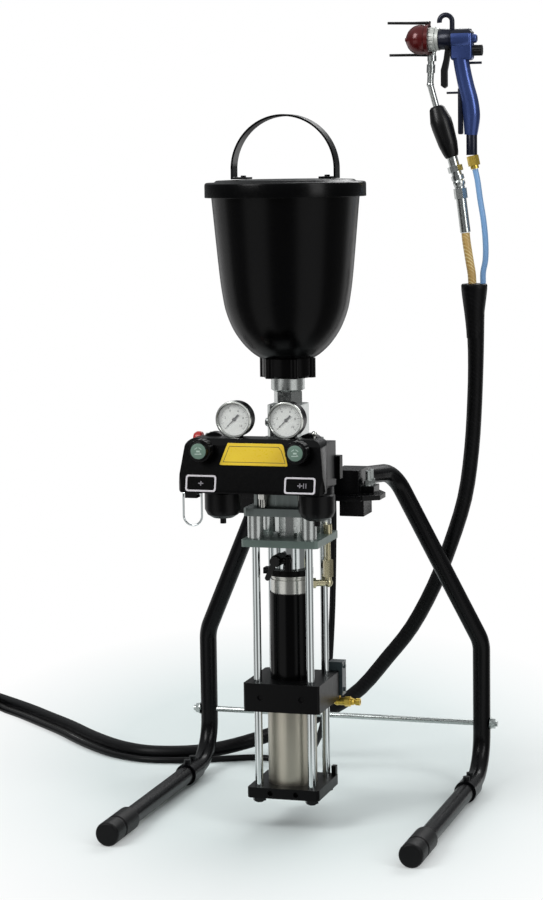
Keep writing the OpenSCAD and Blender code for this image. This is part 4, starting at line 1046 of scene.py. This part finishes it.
@dataclass
class Console(Assembly):
    """The moulded console with its plate, knobs, gauges and regulators.

    Attributes:
        softened: CAD nodes that keep their shape.
        stroke_depth, stroke_edge: Thickness of a raised line, and its edge rounding.
        face: Middle of the leaning front face.
        lean_deg: How far that face leans back.
        plate_border: Corners of the printed plate's border.
        border_width, border_height: Width and height of that border.
        label_marks: Plain marks in the two framed panels.
        knobs: Name and X of each knob.
        knob_y, knob_z: Where the knobs' green inserts stand.
        insert: Profile of an insert.
        knob_marks: Plain marks on a knob.
        gauges: Side and X of each gauge.
        dial_y, dial_z: Where the dials stand.
        bezel: Profile of a gauge's bezel.
        zero_deg, sweep_deg: Where a scale starts, and how far it sweeps clockwise.
        marks, coarse, figured: Steps of a scale, and the steps between its coarse marks and figures.
        mark_radii: Radii at which coarse marks start, fine marks start and all of them end.
        mark_widths, mark_height: Widths of coarse and fine marks, and their height.
        figure_radius, figure_size: Where the figures stand, and their height.
        needle_gap: Distance between dial and needle.
        blades: Half widths at hub and tip, length and direction of a needle's point and tail.
        blade_share: Thickness of a blade as a share of its width.
        hub: Profile of a needle's hub.
    """

    softened: tuple[Soft, ...] = (
        Soft("console_shell", ABS_GLOSS, "black_plastic", 2.0, 4),
        Soft("left_regulator", ABS_BLACK, "black_plastic", 1.0, 3),
        Soft("right_regulator", ABS_BLACK, "black_plastic", 1.0, 3),
        Soft("console_bracket", ANODISED_BLACK, "anodised_black", 0.8),
        Soft("console_fittings", NICKEL, "nickel", 0.4),
        Soft("stop_button", BUTTON_RED, "button_red", 0.8, 3, "button"),
        Soft("front_plate", PLATE_YELLOW, "yellow_plate", 0.3),
        Soft("label_frames", PRINT_WHITE, "label_white", 0.25),
        Soft("left_knob", ABS_BLACK, "knob_green", 0.5, body="left_knob_body"),
        Soft("right_knob", ABS_BLACK, "knob_green", 0.5, body="right_knob_body"),
        Soft("gauge_cases", ABS_BLACK, "black_plastic", 0.4))
    stroke_depth: float = 0.4
    stroke_edge: float = 0.05
    face: Point = (0, -237, 534)
    lean_deg: float = 12
    plate_border: tuple[Pair, ...] = ((-46.5, 40.6), (46, 40.6), (39.5, 58), (35, 63.2), (-38.5, 63.2))
    border_width: float = 0.7
    border_height: float = 1.12
    label_marks: tuple[Stroke, ...] = (
        Stroke((-82, 9), (-76, 9), 1.6, 0.5), Stroke((-79, 11.5), (-79, 6.5), 1.6, 0.5),
        Stroke((66, 9), (72, 9), 1.6, 0.5), Stroke((69, 11.5), (69, 6.5), 1.6, 0.5),
        Stroke((74.5, 12), (74.5, 6), 1.2, 0.5), Stroke((78, 12), (78, 6), 1.2, 0.5))
    knobs: tuple[tuple[str, float], ...] = (("left_knob", -77), ("right_knob", 67))
    knob_y: float = -250
    knob_z: float = 591
    insert: tuple[Pair, ...] = ((8.9, 0), (8.9, 1.0), (11.4, 1.05), (11.2, 1.4), (10.4, 1.65), (0.6, 1.75))
    knob_marks: tuple[Stroke, ...] = (
        Stroke((-4.6, 3.2), (-1.5, 5.2), 1.1, 1.9), Stroke((4.6, 3.2), (1.5, 5.2), 1.1, 1.9),
        Stroke((-4.5, -4.0), (4.5, -4.0), 1.3, 1.9), Stroke((3.0, -2.2), (4.5, -4.0), 1.0, 1.9),
        Stroke((-1.4, 0), (1.4, 0), 2.4, 1.95))
    gauges: tuple[tuple[str, float], ...] = (("left", -39), ("right", 39))
    dial_y: float = -198.5
    dial_z: float = 632
    bezel: tuple[Pair, ...] = ((23.4, 2.6), (23.4, 4.6), (24.2, 5.5), (25.6, 5.7), (26.6, 5.0),
                               (26.95, 3.6), (26.95, 2.0), (26.0, 1.6))
    zero_deg: float = 225
    sweep_deg: float = 270
    marks: int = 40
    coarse: int = 4
    figured: int = 8
    mark_radii: Point = (17.2, 18.6, 20.2)
    mark_widths: Pair = (0.55, 0.3)
    mark_height: float = 0.12
    figure_radius: float = 13.6
    figure_size: float = 4.6
    needle_gap: float = 0.9
    blades: tuple[tuple[float, float, float, int], ...] = ((0.9, 0.25, 19.0, 1), (1.7, 1.9, 9.5, -1))
    blade_share: float = 0.35
    hub: tuple[Pair, ...] = ((2.6, -0.4), (2.6, 0.3), (2.0, 0.8), (0.3, 0.95))

    def build(self) -> None:
        """Builds the console's pieces: each knob's and gauge's details are modelled once and copied."""
        for soft in self.softened:
            self.soft_copy(soft)
        front = facing(*self.face, self.lean_deg)
        corners = self.plate_border
        border = [Stroke(a, b, self.border_width, self.border_height)
                  for a, b in zip(corners, corners[1:] + corners[:1])]
        self.dress(self.strokes("plate_border", front, border), INK_BLACK, "needle_black")
        self.dress(self.strokes("label_marks", front, self.label_marks), MARK_GREY, "label_white")
        self.knob_faces()
        self.gauge_faces()

    def knob_faces(self) -> None:
        """Builds each knob's green face insert and its pale marks."""
        face = facing(0, self.knob_y, self.knob_z)
        places = [standing(x, 0, 0) for _, x in self.knobs]
        inserts = self.copies(self.lathe("insert", self.insert, face, 48), places)
        marks = self.copies(self.strokes("marks", face, self.knob_marks), places)
        for (name, _), insert, mark in zip(self.knobs, inserts, marks):
            insert.name, mark.name = name + "_insert", name + "_marks"
            self.dress(insert, KNOB_GREEN, "knob_green", name + "_body")
            self.dress(mark, KNOB_MARK, "label_white", name + "_body")

    def gauge_faces(self) -> None:
        """Builds each gauge's pale pressed bezel, its printed scale and its needle."""
        face = facing(0, self.dial_y, self.dial_z)
        places = [standing(x, 0, 0) for _, x in self.gauges]
        bezels = self.copies(self.lathe("bezel", self.bezel, face, 72, True), places)
        scales = self.copies(self.scale(face), places)
        needles = self.copies(self.needle(), places)
        for (side, _), bezel, scale, needle in zip(self.gauges, bezels, scales, needles):
            node = side + "_needle"
            bezel.name, scale.name, needle.name = side + "_bezel", side + "_scale", node + "_pointer"
            self.dress(bezel, BEZEL, "nickel")
            self.dress(scale, INK_BLACK, "needle_black")
            self.dress(needle, INK_BLACK, "needle_black", node + "_body", (node,))

    def strokes(self, name: str, face: Matrix, strokes: Sequence[Stroke]) -> Piece:
        """Draws raised lines on a face as one piece.

        Args:
            name: The piece's name.
            face: The face's place.
            strokes: The lines.

        Returns:
            The piece.
        """
        pieces = []
        for stroke in strokes:
            a, b = Vector((*stroke.start, 0)), Vector((*stroke.end, 0))
            along, half = b - a, stroke.width / 2
            reach, foot = along.length / 2 + half, stroke.height - self.stroke_depth
            piece = self.block("stroke", (-reach, -half, foot), (reach, half, stroke.height),
                               self.stroke_edge, 1)
            turn = Matrix.Rotation(math.atan2(along.y, along.x), 4, "Z")
            piece.data.transform(face @ Matrix.Translation((a + b) / 2 * MM) @ turn)
            pieces.append(piece)
        return self.join(name, pieces)

    def scale(self, face: Matrix) -> Piece:
        """Prints a gauge's scale: fine and coarse marks and plain figures.

        Args:
            face: The dial's place.

        Returns:
            The scale.
        """
        angles = [self.zero_deg - self.sweep_deg * i / self.marks for i in range(self.marks + 1)]
        lines = []
        for i, angle in enumerate(angles):
            fine = int(i % self.coarse != 0)
            lines.append(Stroke(around(self.mark_radii[fine], angle), around(self.mark_radii[2], angle),
                                self.mark_widths[fine], self.mark_height))
        pieces = [self.strokes("lines", face, lines)]
        for i in range(0, self.marks + 1, self.figured):
            spot = standing(*around(self.figure_radius, angles[i]), 0.05)
            pieces.append(self.words(str(i // self.coarse), self.figure_size, face @ spot))
        return self.join("scale", pieces)

    def needle(self) -> Piece:
        """Builds a needle: long thin point, broad tail and a domed hub.

        Returns:
            The needle, at the left-right middle of the console.
        """
        face = facing(0, self.dial_y - self.needle_gap, self.dial_z)
        parts = []
        for low, high, length, sign in self.blades:
            deselect()
            bpy.ops.mesh.primitive_cone_add(vertices=4, radius1=low * MM, radius2=high * MM,
                                            depth=length * MM, location=(0, 0, length / 2 * MM))
            part = modelled("blade")
            part.data.transform(spin(45, "Z"))
            part.data.transform(Matrix.Diagonal((1, self.blade_share, 1, 1)))
            part.data.transform(face @ spin(self.zero_deg, "Z") @ spin(90 * sign, "Y") @ spin(90, "Z"))
            parts.append(part)
        parts.append(self.lathe("hub", self.hub, face, 32))
        return self.join("needle", parts)


@dataclass
class Hopper(Assembly):
    """The moulded hopper, its lid, strap handle and union nut.

    Attributes:
        axis_y: Where the hopper's axis stands.
        bowl_z, lid_z: Heights that the two profiles start from.
        outer: The bowl's outer profile, before it is smoothed.
        wall, inner_lift: How far the inner wall lies inside the outer one, and above it.
        inner_from: Points of the smoothed outer profile that the inner wall leaves out at the bottom.
        neck: Profile of the bowl's neck, before the outer profile.
        rim: Profile of its rim, after the outer profile.
        drain: Profile of its bottom, after the inner profile.
        lid: The lid's profile.
        softened: CAD nodes that keep their shape.
    """

    axis_y: float = -55
    bowl_z: float = 710
    lid_z: float = 948
    outer: tuple[Pair, ...] = ((42, 1), (52, 8), (66, 22), (80, 43), (90, 68), (95, 92), (100, 132),
                               (109.3, 234), (111, 249))
    wall: float = 3
    inner_lift: float = 1
    inner_from: int = 5
    neck: tuple[Pair, ...] = ((16, -29), (19, -29), (19, 0))
    rim: tuple[Pair, ...] = ((115, 251), (115.5, 252), (115.5, 255.5), (115, 256), (108.6, 256))
    drain: tuple[Pair, ...] = ((38, 5), (16, 1))
    lid: tuple[Pair, ...] = (
        (116.5, 0), (119, 0), (119.5, 0.6), (119.5, 18.4), (118.9, 20.4), (117.4, 21.6), (115.5, 22),
        (106.5, 22), (105.2, 22.4), (102.6, 24.7), (101, 25.1), (70, 26), (1, 26.5), (1, 23.5), (70, 23),
        (101.5, 18.4), (116.5, 18.4))
    softened: tuple[Soft, ...] = (
        Soft("lid_handle", PE_BLACK, "hopper_black", 0.8, 3, "lid"),
        Soft("union_nut", PE_BLACK, "hopper_black", 1.2, 3))

    def build(self) -> None:
        """Builds the hopper's four pieces."""
        outer = rounded(self.outer)
        inner = [(r - self.wall, z + self.inner_lift) for r, z in reversed(outer[self.inner_from:])]
        profile = [*self.neck, *outer, *self.rim, *inner[1:], *self.drain]
        bowl = self.lathe("hopper_shell", profile, standing(0, self.axis_y, self.bowl_z), 128, True)
        self.dress(bowl, PE_BLACK, "hopper_black", nodes=("hopper_bowl",))
        lid = self.lathe("lid_shell", self.lid, standing(0, self.axis_y, self.lid_z), 128, True)
        self.dress(lid, PE_BLACK, "hopper_black", "lid", ("hopper_lid",), 30)
        for soft in self.softened:
            self.soft_copy(soft)


@dataclass
class Gun(Assembly):
    """The hung spray gun with its fluid line and grip.

    Attributes:
        axis_y, axis_z: Where the barrel's axis lies.
        softened: CAD nodes that keep their shape and one finish.
        guard: The tip guard, whose ring is red inside ring_radius behind ring_x.
        ring_x, ring_radius: Limits of that ring.
        prongs: Turn about the barrel, and distance from its axis at the tip, of each prong.
        prong_x: Where a prong starts, bends and ends.
        prong_root: Distance from the axis where a prong starts.
        prong_radii: A prong's radius at its three points.
        fittings: The fluid line's fittings, with a brass nut.
        nut_x, nut_z: The nut's side and its lower and upper end.
        barrel_x: Where the barrel and its rear end start.
        barrel, rear: Profiles of the barrel and of its rear end.
        saddle, saddle_edge: Corners of the block that holds the handle, and its edge rounding.
        stations: X, Z and half depth along the handle.
        handle_width: The handle's width as a share of its depth.
        navy_x, navy_z, navy_top: Ahead of the first and above the second, or above the third, it is navy.
        strip, strip_edge: Corners of the handle's front strip, and its edge rounding.
        neck: Profile of the handle's neck.
        neck_x, neck_z: Where the neck stands.
        hook: X, Z and radius of the hook's bend.
        stem: X and Z of the hook's stem.
        hook_width: The hook's thickness.
        pins: X of both ends, Z and thickness of each cross pin.
    """

    axis_y: float = 200
    axis_z: float = 1183
    softened: tuple[Soft, ...] = (
        Soft("gun_ring", RING_GREY, "nickel", 0.4),
        Soft("air_cap", CAP_RED, "cap_red", 0.5, 3),
        Soft("gun_trigger", ACETAL_BLACK, "guard_black", 1.4, 3, "trigger"),
        Soft("filter_grip", ACETAL_BLACK, "guard_black", 0.8),
        Soft("gun_knob", ACETAL_BLACK, "guard_black", 0.5, body="gun_knob_body"))
    guard: Soft = Soft("tip_guard", ACETAL_BLACK, "guard_black", 0.3)
    ring_x: float = 154.5
    ring_radius: float = 23.6
    prongs: tuple[Pair, ...] = ((0, 26.4), (205, 23.8))
    prong_x: Point = (158, 126, 94)
    prong_root: float = 25.4
    prong_radii: Point = (2.6, 2.1, 1.55)
    fittings: Soft = Soft("gun_fittings", STAINLESS, "steel", 0.4)
    nut_x: float = 216.5
    nut_z: Pair = (981, 1008)
    barrel_x: float = 176
    barrel: tuple[Pair, ...] = ((13, 0), (15.4, 0.2), (16, 1), (16, 18), (15.2, 18.6), (15.2, 20.4), (16, 21),
                                (16, 48), (15, 49.6), (6, 50))
    rear: tuple[Pair, ...] = ((7, 40), (7, 56), (6.4, 58), (5, 59), (1.5, 59))
    saddle: tuple[Point, Point] = ((194.5, 188.6, 1150), (229, 211.4, 1195.6))
    saddle_edge: float = 5
    stations: tuple[Point, ...] = (
        (209, 1158, 12.5), (212, 1138, 12.3), (217.5, 1112, 12.5), (223.5, 1088, 13), (226, 1066, 13.2),
        (225.5, 1048, 11.6), (224.8, 1036, 10))
    handle_width: float = 0.92
    navy_x: float = 197
    navy_z: float = 1150
    navy_top: float = 1191
    strip: tuple[Point, Point] = ((205, 194.8, 1037), (212.4, 205.2, 1108))
    strip_edge: float = 2.2
    neck: tuple[Pair, ...] = ((8.4, 0), (8.4, 31), (7.6, 33.5))
    neck_x: float = 226
    neck_z: float = 1005
    hook: Point = (186, 1210, 10)
    stem: tuple[Pair, Pair] = ((196, 1190), (196, 1206))
    hook_width: float = 7.8
    pins: tuple[tuple[float, float, float, float], ...] = ((222, 242, 1146, 4), (187, 209, 1101, 3.6))

    def build(self) -> None:
        """Softens the gun's pieces and picks out their own metals."""
        self.forging()
        self.fixtures()
        for soft in self.softened:
            self.soft_copy(soft)
        self.tip_guard()
        fittings = self.soft_copy(self.fittings)
        low, high = self.nut_z
        self.tint(fittings, BRASS, lambda p: p.x > self.nut_x * MM and low * MM < p.z < high * MM)

    def tip_guard(self) -> None:
        """Colours the guard's ring and rounds its two long prongs."""
        guard = self.soft_copy(self.guard)
        axis = Vector((self.axis_y, self.axis_z)) * MM
        self.tint(guard, CAP_RED, lambda p: p.x > self.ring_x * MM
                  and (p.yz - axis).length < self.ring_radius * MM)
        pieces = []
        for turn, reach in self.prongs:
            radii = (self.prong_root, (self.prong_root + reach) / 2, reach)
            route = metres([(x, 0, r) for x, r in zip(self.prong_x, radii)])
            prong = self.solid_tube("prong", route, 2 * MM, self.prong_radii, 8)
            prong.data.transform(standing(0, self.axis_y, self.axis_z) @ spin(turn, "X"))
            pieces.append(prong)
        self.dress(self.join("guard_prongs", pieces), ACETAL_BLACK, "guard_black")

    def forging(self) -> None:
        """Builds the gun's forged body: barrel, frame and rounded handle."""
        along = standing(self.barrel_x, self.axis_y, self.axis_z) @ spin(90, "Y")
        pieces = [self.lathe("barrel", self.barrel, along, 48), self.lathe("rear", self.rear, along, 32),
                  self.block("saddle", *self.saddle, self.saddle_edge, 5), self.handle()]
        metal = self.join("gun_forging", pieces)
        self.dress(metal, ANODISED_BLUE, "gun_blue", nodes=("gun_body",), smooth_deg=SOFT_SHADE_DEG)
        self.tint(metal, GUN_NAVY, lambda p: p.z > self.navy_top * MM
                  or (p.x < self.navy_x * MM and p.z > self.navy_z * MM))

    def handle(self) -> Piece:
        """Models the handle as a rounded bar through its stations, a little narrower than deep.

        Returns:
            The handle.
        """
        route = smooth_route([(x, half, z) for x, z, half in self.stations], 4)
        middle = self.axis_y * MM
        line = [(p.x * MM, middle, p.z * MM) for p in route]
        bar = self.solid_tube("handle", line, 2 * MM, [p.y for p in route], 10)
        bar.data.transform(standing(0, self.axis_y, 0) @ Matrix.Diagonal((1, self.handle_width, 1, 1))
                           @ standing(0, -self.axis_y, 0))
        return bar

    def fixtures(self) -> None:
        """Builds the front strip, neck, hook and pins that the forging carries."""
        strip = self.block("strip", *self.strip, self.strip_edge, 4)
        neck = self.lathe("neck", self.neck, standing(self.neck_x, self.axis_y, self.neck_z), 32)
        hook_x, hook_z, radius = self.hook
        line = [(x, self.axis_y, z) for x, z in self.stem]
        for angle in range(0, 191, 10):
            x, z = around(radius, angle)
            line.append((hook_x + x, self.axis_y, hook_z + z))
        hook = self.solid_tube("hook", metres(line), self.hook_width * MM)
        pins = [self.solid_tube("pin", metres([(x, self.axis_y, z) for x in ends]), width * MM)
                for *ends, z, width in self.pins]
        dark = self.join("gun_fixtures", [strip, neck, hook] + pins)
        self.dress(dark, GUN_NAVY, "gun_blue", smooth_deg=SOFT_SHADE_DEG)


@dataclass(frozen=True)
class Lamp:
    """One soft rectangular light.

    Attributes:
        name: Its name.
        place, aim: Where it hangs and what it points at, in metres.
        width, height: Its size, in metres.
        power: Its power, in watts.
    """

    name: str
    place: Point
    aim: Point
    width: float
    height: float
    power: float


@dataclass
class Studio(Assembly):
    """Pale floor with a painted shadow round the object, soft lights and the camera.

    Attributes:
        lamps: The soft lights.
        sensor, lens: The camera's sensor height and focal length.
        eye: Where the camera stands, in metres.
        pan_deg, dip_deg, roll_deg: How the camera turns, looks down and rolls.
        floor_size: The floor's size, in metres.
        shadow_pool: Middle of the painted shadow that the floor's colour carries round the object, in metres.
        pool_size: Half width and half depth of that painted shadow, in metres.
        shadow_pool_tones: Tones of the painted shadow in its middle and at its edge, and where each holds.
        paper: The floor's roughness.
        fade: Shares of the painted shadow's size between which the floor turns into plain white.
        flags: Bright and dark screens round the studio, as a share of a full turn and their tone in
            polished metal.
        dimmest: The white floor's least light on the object.
        sky_span, sky_light: Heights between which the surround brightens, and its light at each.
    """

    lamps: tuple[Lamp, ...] = (
        Lamp("key", (-1.9, -2.6, 3.0), (0.0, 0.0, 0.6), 1.6, 2.2, 95),
        Lamp("fill", (2.9, -1.6, 2.2), (0.0, 0.0, 0.5), 1.2, 2.4, 42),
        Lamp("back", (0.6, 3.2, 3.0), (0.0, 0.2, 0.6), 3.0, 1.6, 70))
    sensor: float = 24
    lens: float = 65.57
    eye: Point = (1.0365, -3.5554, 1.0108)
    pan_deg: float = 16.9
    dip_deg: float = 6.86
    roll_deg: float = -0.82
    floor_size: float = 30
    # Painted shadow: the floor's colour is a darker pool round the object, set by its middle, size and tones.
    shadow_pool: Pair = (-0.13, 0.36)
    pool_size: Pair = (0.5, 0.95)
    shadow_pool_tones: tuple[tuple[float, str], ...] = ((0.2, "cfd8d7"), (1.0, "dbe2e1"))
    paper: float = 0.7
    fade: Pair = (0.6, 1.25)
    flags: tuple[Pair, ...] = (
        (0.02, 0.05), (0.09, 0.05), (0.12, 0.9), (0.2, 0.95), (0.23, 0.1), (0.33, 0.12), (0.36, 1.0),
        (0.46, 0.9), (0.49, 0.06), (0.6, 0.06), (0.64, 1.1), (0.72, 1.1), (0.75, 0.15), (0.84, 0.12),
        (0.87, 0.9), (0.96, 0.9))
    dimmest: float = 0.2
    sky_span: Pair = (0.1, 0.8)
    sky_light: Pair = (0.16, 0.75)

    def build(self) -> None:
        """Sets the whole studio."""
        self.camera()
        self.floor()
        for lamp in self.lamps:
            self.hang(lamp)
        self.world()

    def camera(self) -> None:
        """Puts the camera where the object is looked at from."""
        lens = bpy.data.cameras.new("view")
        lens.sensor_fit = "VERTICAL"
        lens.sensor_height = self.sensor
        lens.lens = self.lens
        view = bpy.data.objects.new("view", lens)
        bpy.context.collection.objects.link(view)
        view.matrix_world = (Matrix.Translation(self.eye) @ spin(self.pan_deg, "Z")
                             @ spin(90 - self.dip_deg, "X") @ spin(self.roll_deg, "Z"))
        bpy.context.scene.camera = view

    def hang(self, lamp: Lamp) -> None:
        """Hangs one light.

        Args:
            lamp: The light.
        """
        light = bpy.data.lights.new(lamp.name, "AREA")
        light.shape = "RECTANGLE"
        light.size, light.size_y = lamp.width, lamp.height
        light.energy = lamp.power
        holder = bpy.data.objects.new(lamp.name, light)
        bpy.context.collection.objects.link(holder)
        holder.location = lamp.place
        holder.rotation_euler = (Vector(lamp.aim) - Vector(lamp.place)).to_track_quat("-Z", "Y").to_euler()

    def floor(self) -> None:
        """Lays a pale floor with a painted shadow round the object that fades to white away from it, with its
        cast shadows kept.
        """
        deselect()
        bpy.ops.mesh.primitive_plane_add(size=self.floor_size, location=(0, 0, 0))
        plane = bpy.context.object
        plane.name = "floor"
        material = bpy.data.materials.new("studio_paper")
        tree = empty_tree(material)
        place = add_node(tree, "ShaderNodeTexCoord").outputs["Object"]
        shaped = add_node(tree, "ShaderNodeMapping",
                          {"vector_type": "TEXTURE", "Location": (*self.shadow_pool, 0.0),
                           "Rotation": (0.0, 0.0, math.radians(self.pan_deg)),
                           "Scale": (*self.pool_size, 1.0)}, {"Vector": place})
        distance = add_node(tree, "ShaderNodeVectorMath", {"operation": "LENGTH"},
                            {0: shaped.outputs[0]}).outputs["Value"]
        # Painted shadow: the floor's colour darkens towards the middle of the pool round the object.
        tone = add_node(tree, "ShaderNodeValToRGB", None, {"Fac": distance})
        for stop, (position, colour) in zip(tone.color_ramp.elements, self.shadow_pool_tones):
            stop.position = position
            stop.color = linear(colour)
        paper = add_node(tree, "ShaderNodeBsdfPrincipled", {"Roughness": self.paper},
                         {"Base Color": tone.outputs["Color"]})
        glow = add_node(tree, "ShaderNodeEmission", {"Color": (1, 1, 1, 1)},
                        {"Strength": self.glow_strength(tree, place)})
        fade = add_node(tree, "ShaderNodeMapRange", {"From Min": self.fade[0], "From Max": self.fade[1]},
                        {"Value": distance})
        mix = add_node(tree, "ShaderNodeMixShader", None,
                       {"Fac": fade.outputs["Result"], 1: paper.outputs[0], 2: glow.outputs[0]})
        add_node(tree, "ShaderNodeOutputMaterial", None, {"Surface": mix.outputs[0]})
        plane.data.materials.append(material)

    def glow_strength(self, tree: bpy.types.NodeTree, place: Socket) -> Socket:
        """Makes the floor plain white to the camera and bright and dark by turns in polished metal.

        Args:
            tree: The floor's node tree.
            place: The floor's own coordinates.

        Returns:
            The strength of the floor's glow.
        """
        path = add_node(tree, "ShaderNodeLightPath")
        turned = add_node(tree, "ShaderNodeTexGradient", {"gradient_type": "RADIAL"}, {"Vector": place})
        flags = add_node(tree, "ShaderNodeValToRGB", None, {"Fac": turned.outputs["Fac"]})
        for position, tone in self.flags:
            flags.color_ramp.elements.new(position).color = (tone, tone, tone, 1)
        mirrored = add_node(tree, "ShaderNodeMath", {"operation": "MULTIPLY"},
                            {0: flags.outputs["Color"], 1: path.outputs["Is Glossy Ray"]})
        shine = add_node(tree, "ShaderNodeMath", {"operation": "ADD"},
                         {0: mirrored.outputs[0], 1: path.outputs["Is Camera Ray"]})
        lifted = add_node(tree, "ShaderNodeMath", {"operation": "MAXIMUM", 1: self.dimmest},
                          {0: shine.outputs[0]})
        return lifted.outputs[0]

    def world(self) -> None:
        """Gives a soft surround, brighter above, that the camera sees as plain white."""
        world = bpy.data.worlds.new("surround")
        tree = empty_tree(world)
        seen = add_node(tree, "ShaderNodeBackground", {"Color": (1, 1, 1, 1), "Strength": 1.0})
        place = add_node(tree, "ShaderNodeTexCoord")
        height = add_node(tree, "ShaderNodeSeparateXYZ", None, {"Vector": place.outputs["Generated"]})
        (low, high), (dim, bright) = self.sky_span, self.sky_light
        lift = add_node(tree, "ShaderNodeMapRange",
                        {"From Min": low, "From Max": high, "To Min": dim, "To Max": bright},
                        {"Value": height.outputs["Z"]})
        soft = add_node(tree, "ShaderNodeBackground", {"Color": linear("eef1f3")},
                        {"Strength": lift.outputs["Result"]})
        path = add_node(tree, "ShaderNodeLightPath")
        mix = add_node(tree, "ShaderNodeMixShader", None,
                       {"Fac": path.outputs["Is Camera Ray"], 1: soft.outputs[0], 2: seen.outputs[0]})
        add_node(tree, "ShaderNodeOutputWorld", None, {"Surface": mix.outputs[0]})
        bpy.context.scene.world = world


def dress_frame(frame: dict[str, Any]) -> None:
    """Gives every CAD node its finish.
    """
    finishes = {node: finish for finish, nodes in FINISHED_NODES for node in nodes.split()}
    for name, node in frame["nodes"].items():
        node.data.materials.clear()
        node.data.materials.append(finishes[name].build())
        LOG.info("%s wears %s", name, finishes[name].name)


def main() -> None:
    """Builds the whole scene on the CAD frame."""
    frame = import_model()
    bpy.context.scene.view_settings.view_transform = "Standard"
    dress_frame(frame)
    for group in (Hoses(frame), Stand(frame), Column(frame), Console(frame), Hopper(frame), Gun(frame),
                  Studio(frame)):
        LOG.info("building %s", type(group).__name__)
        group.build()


if __name__ == "__main__":
    main()
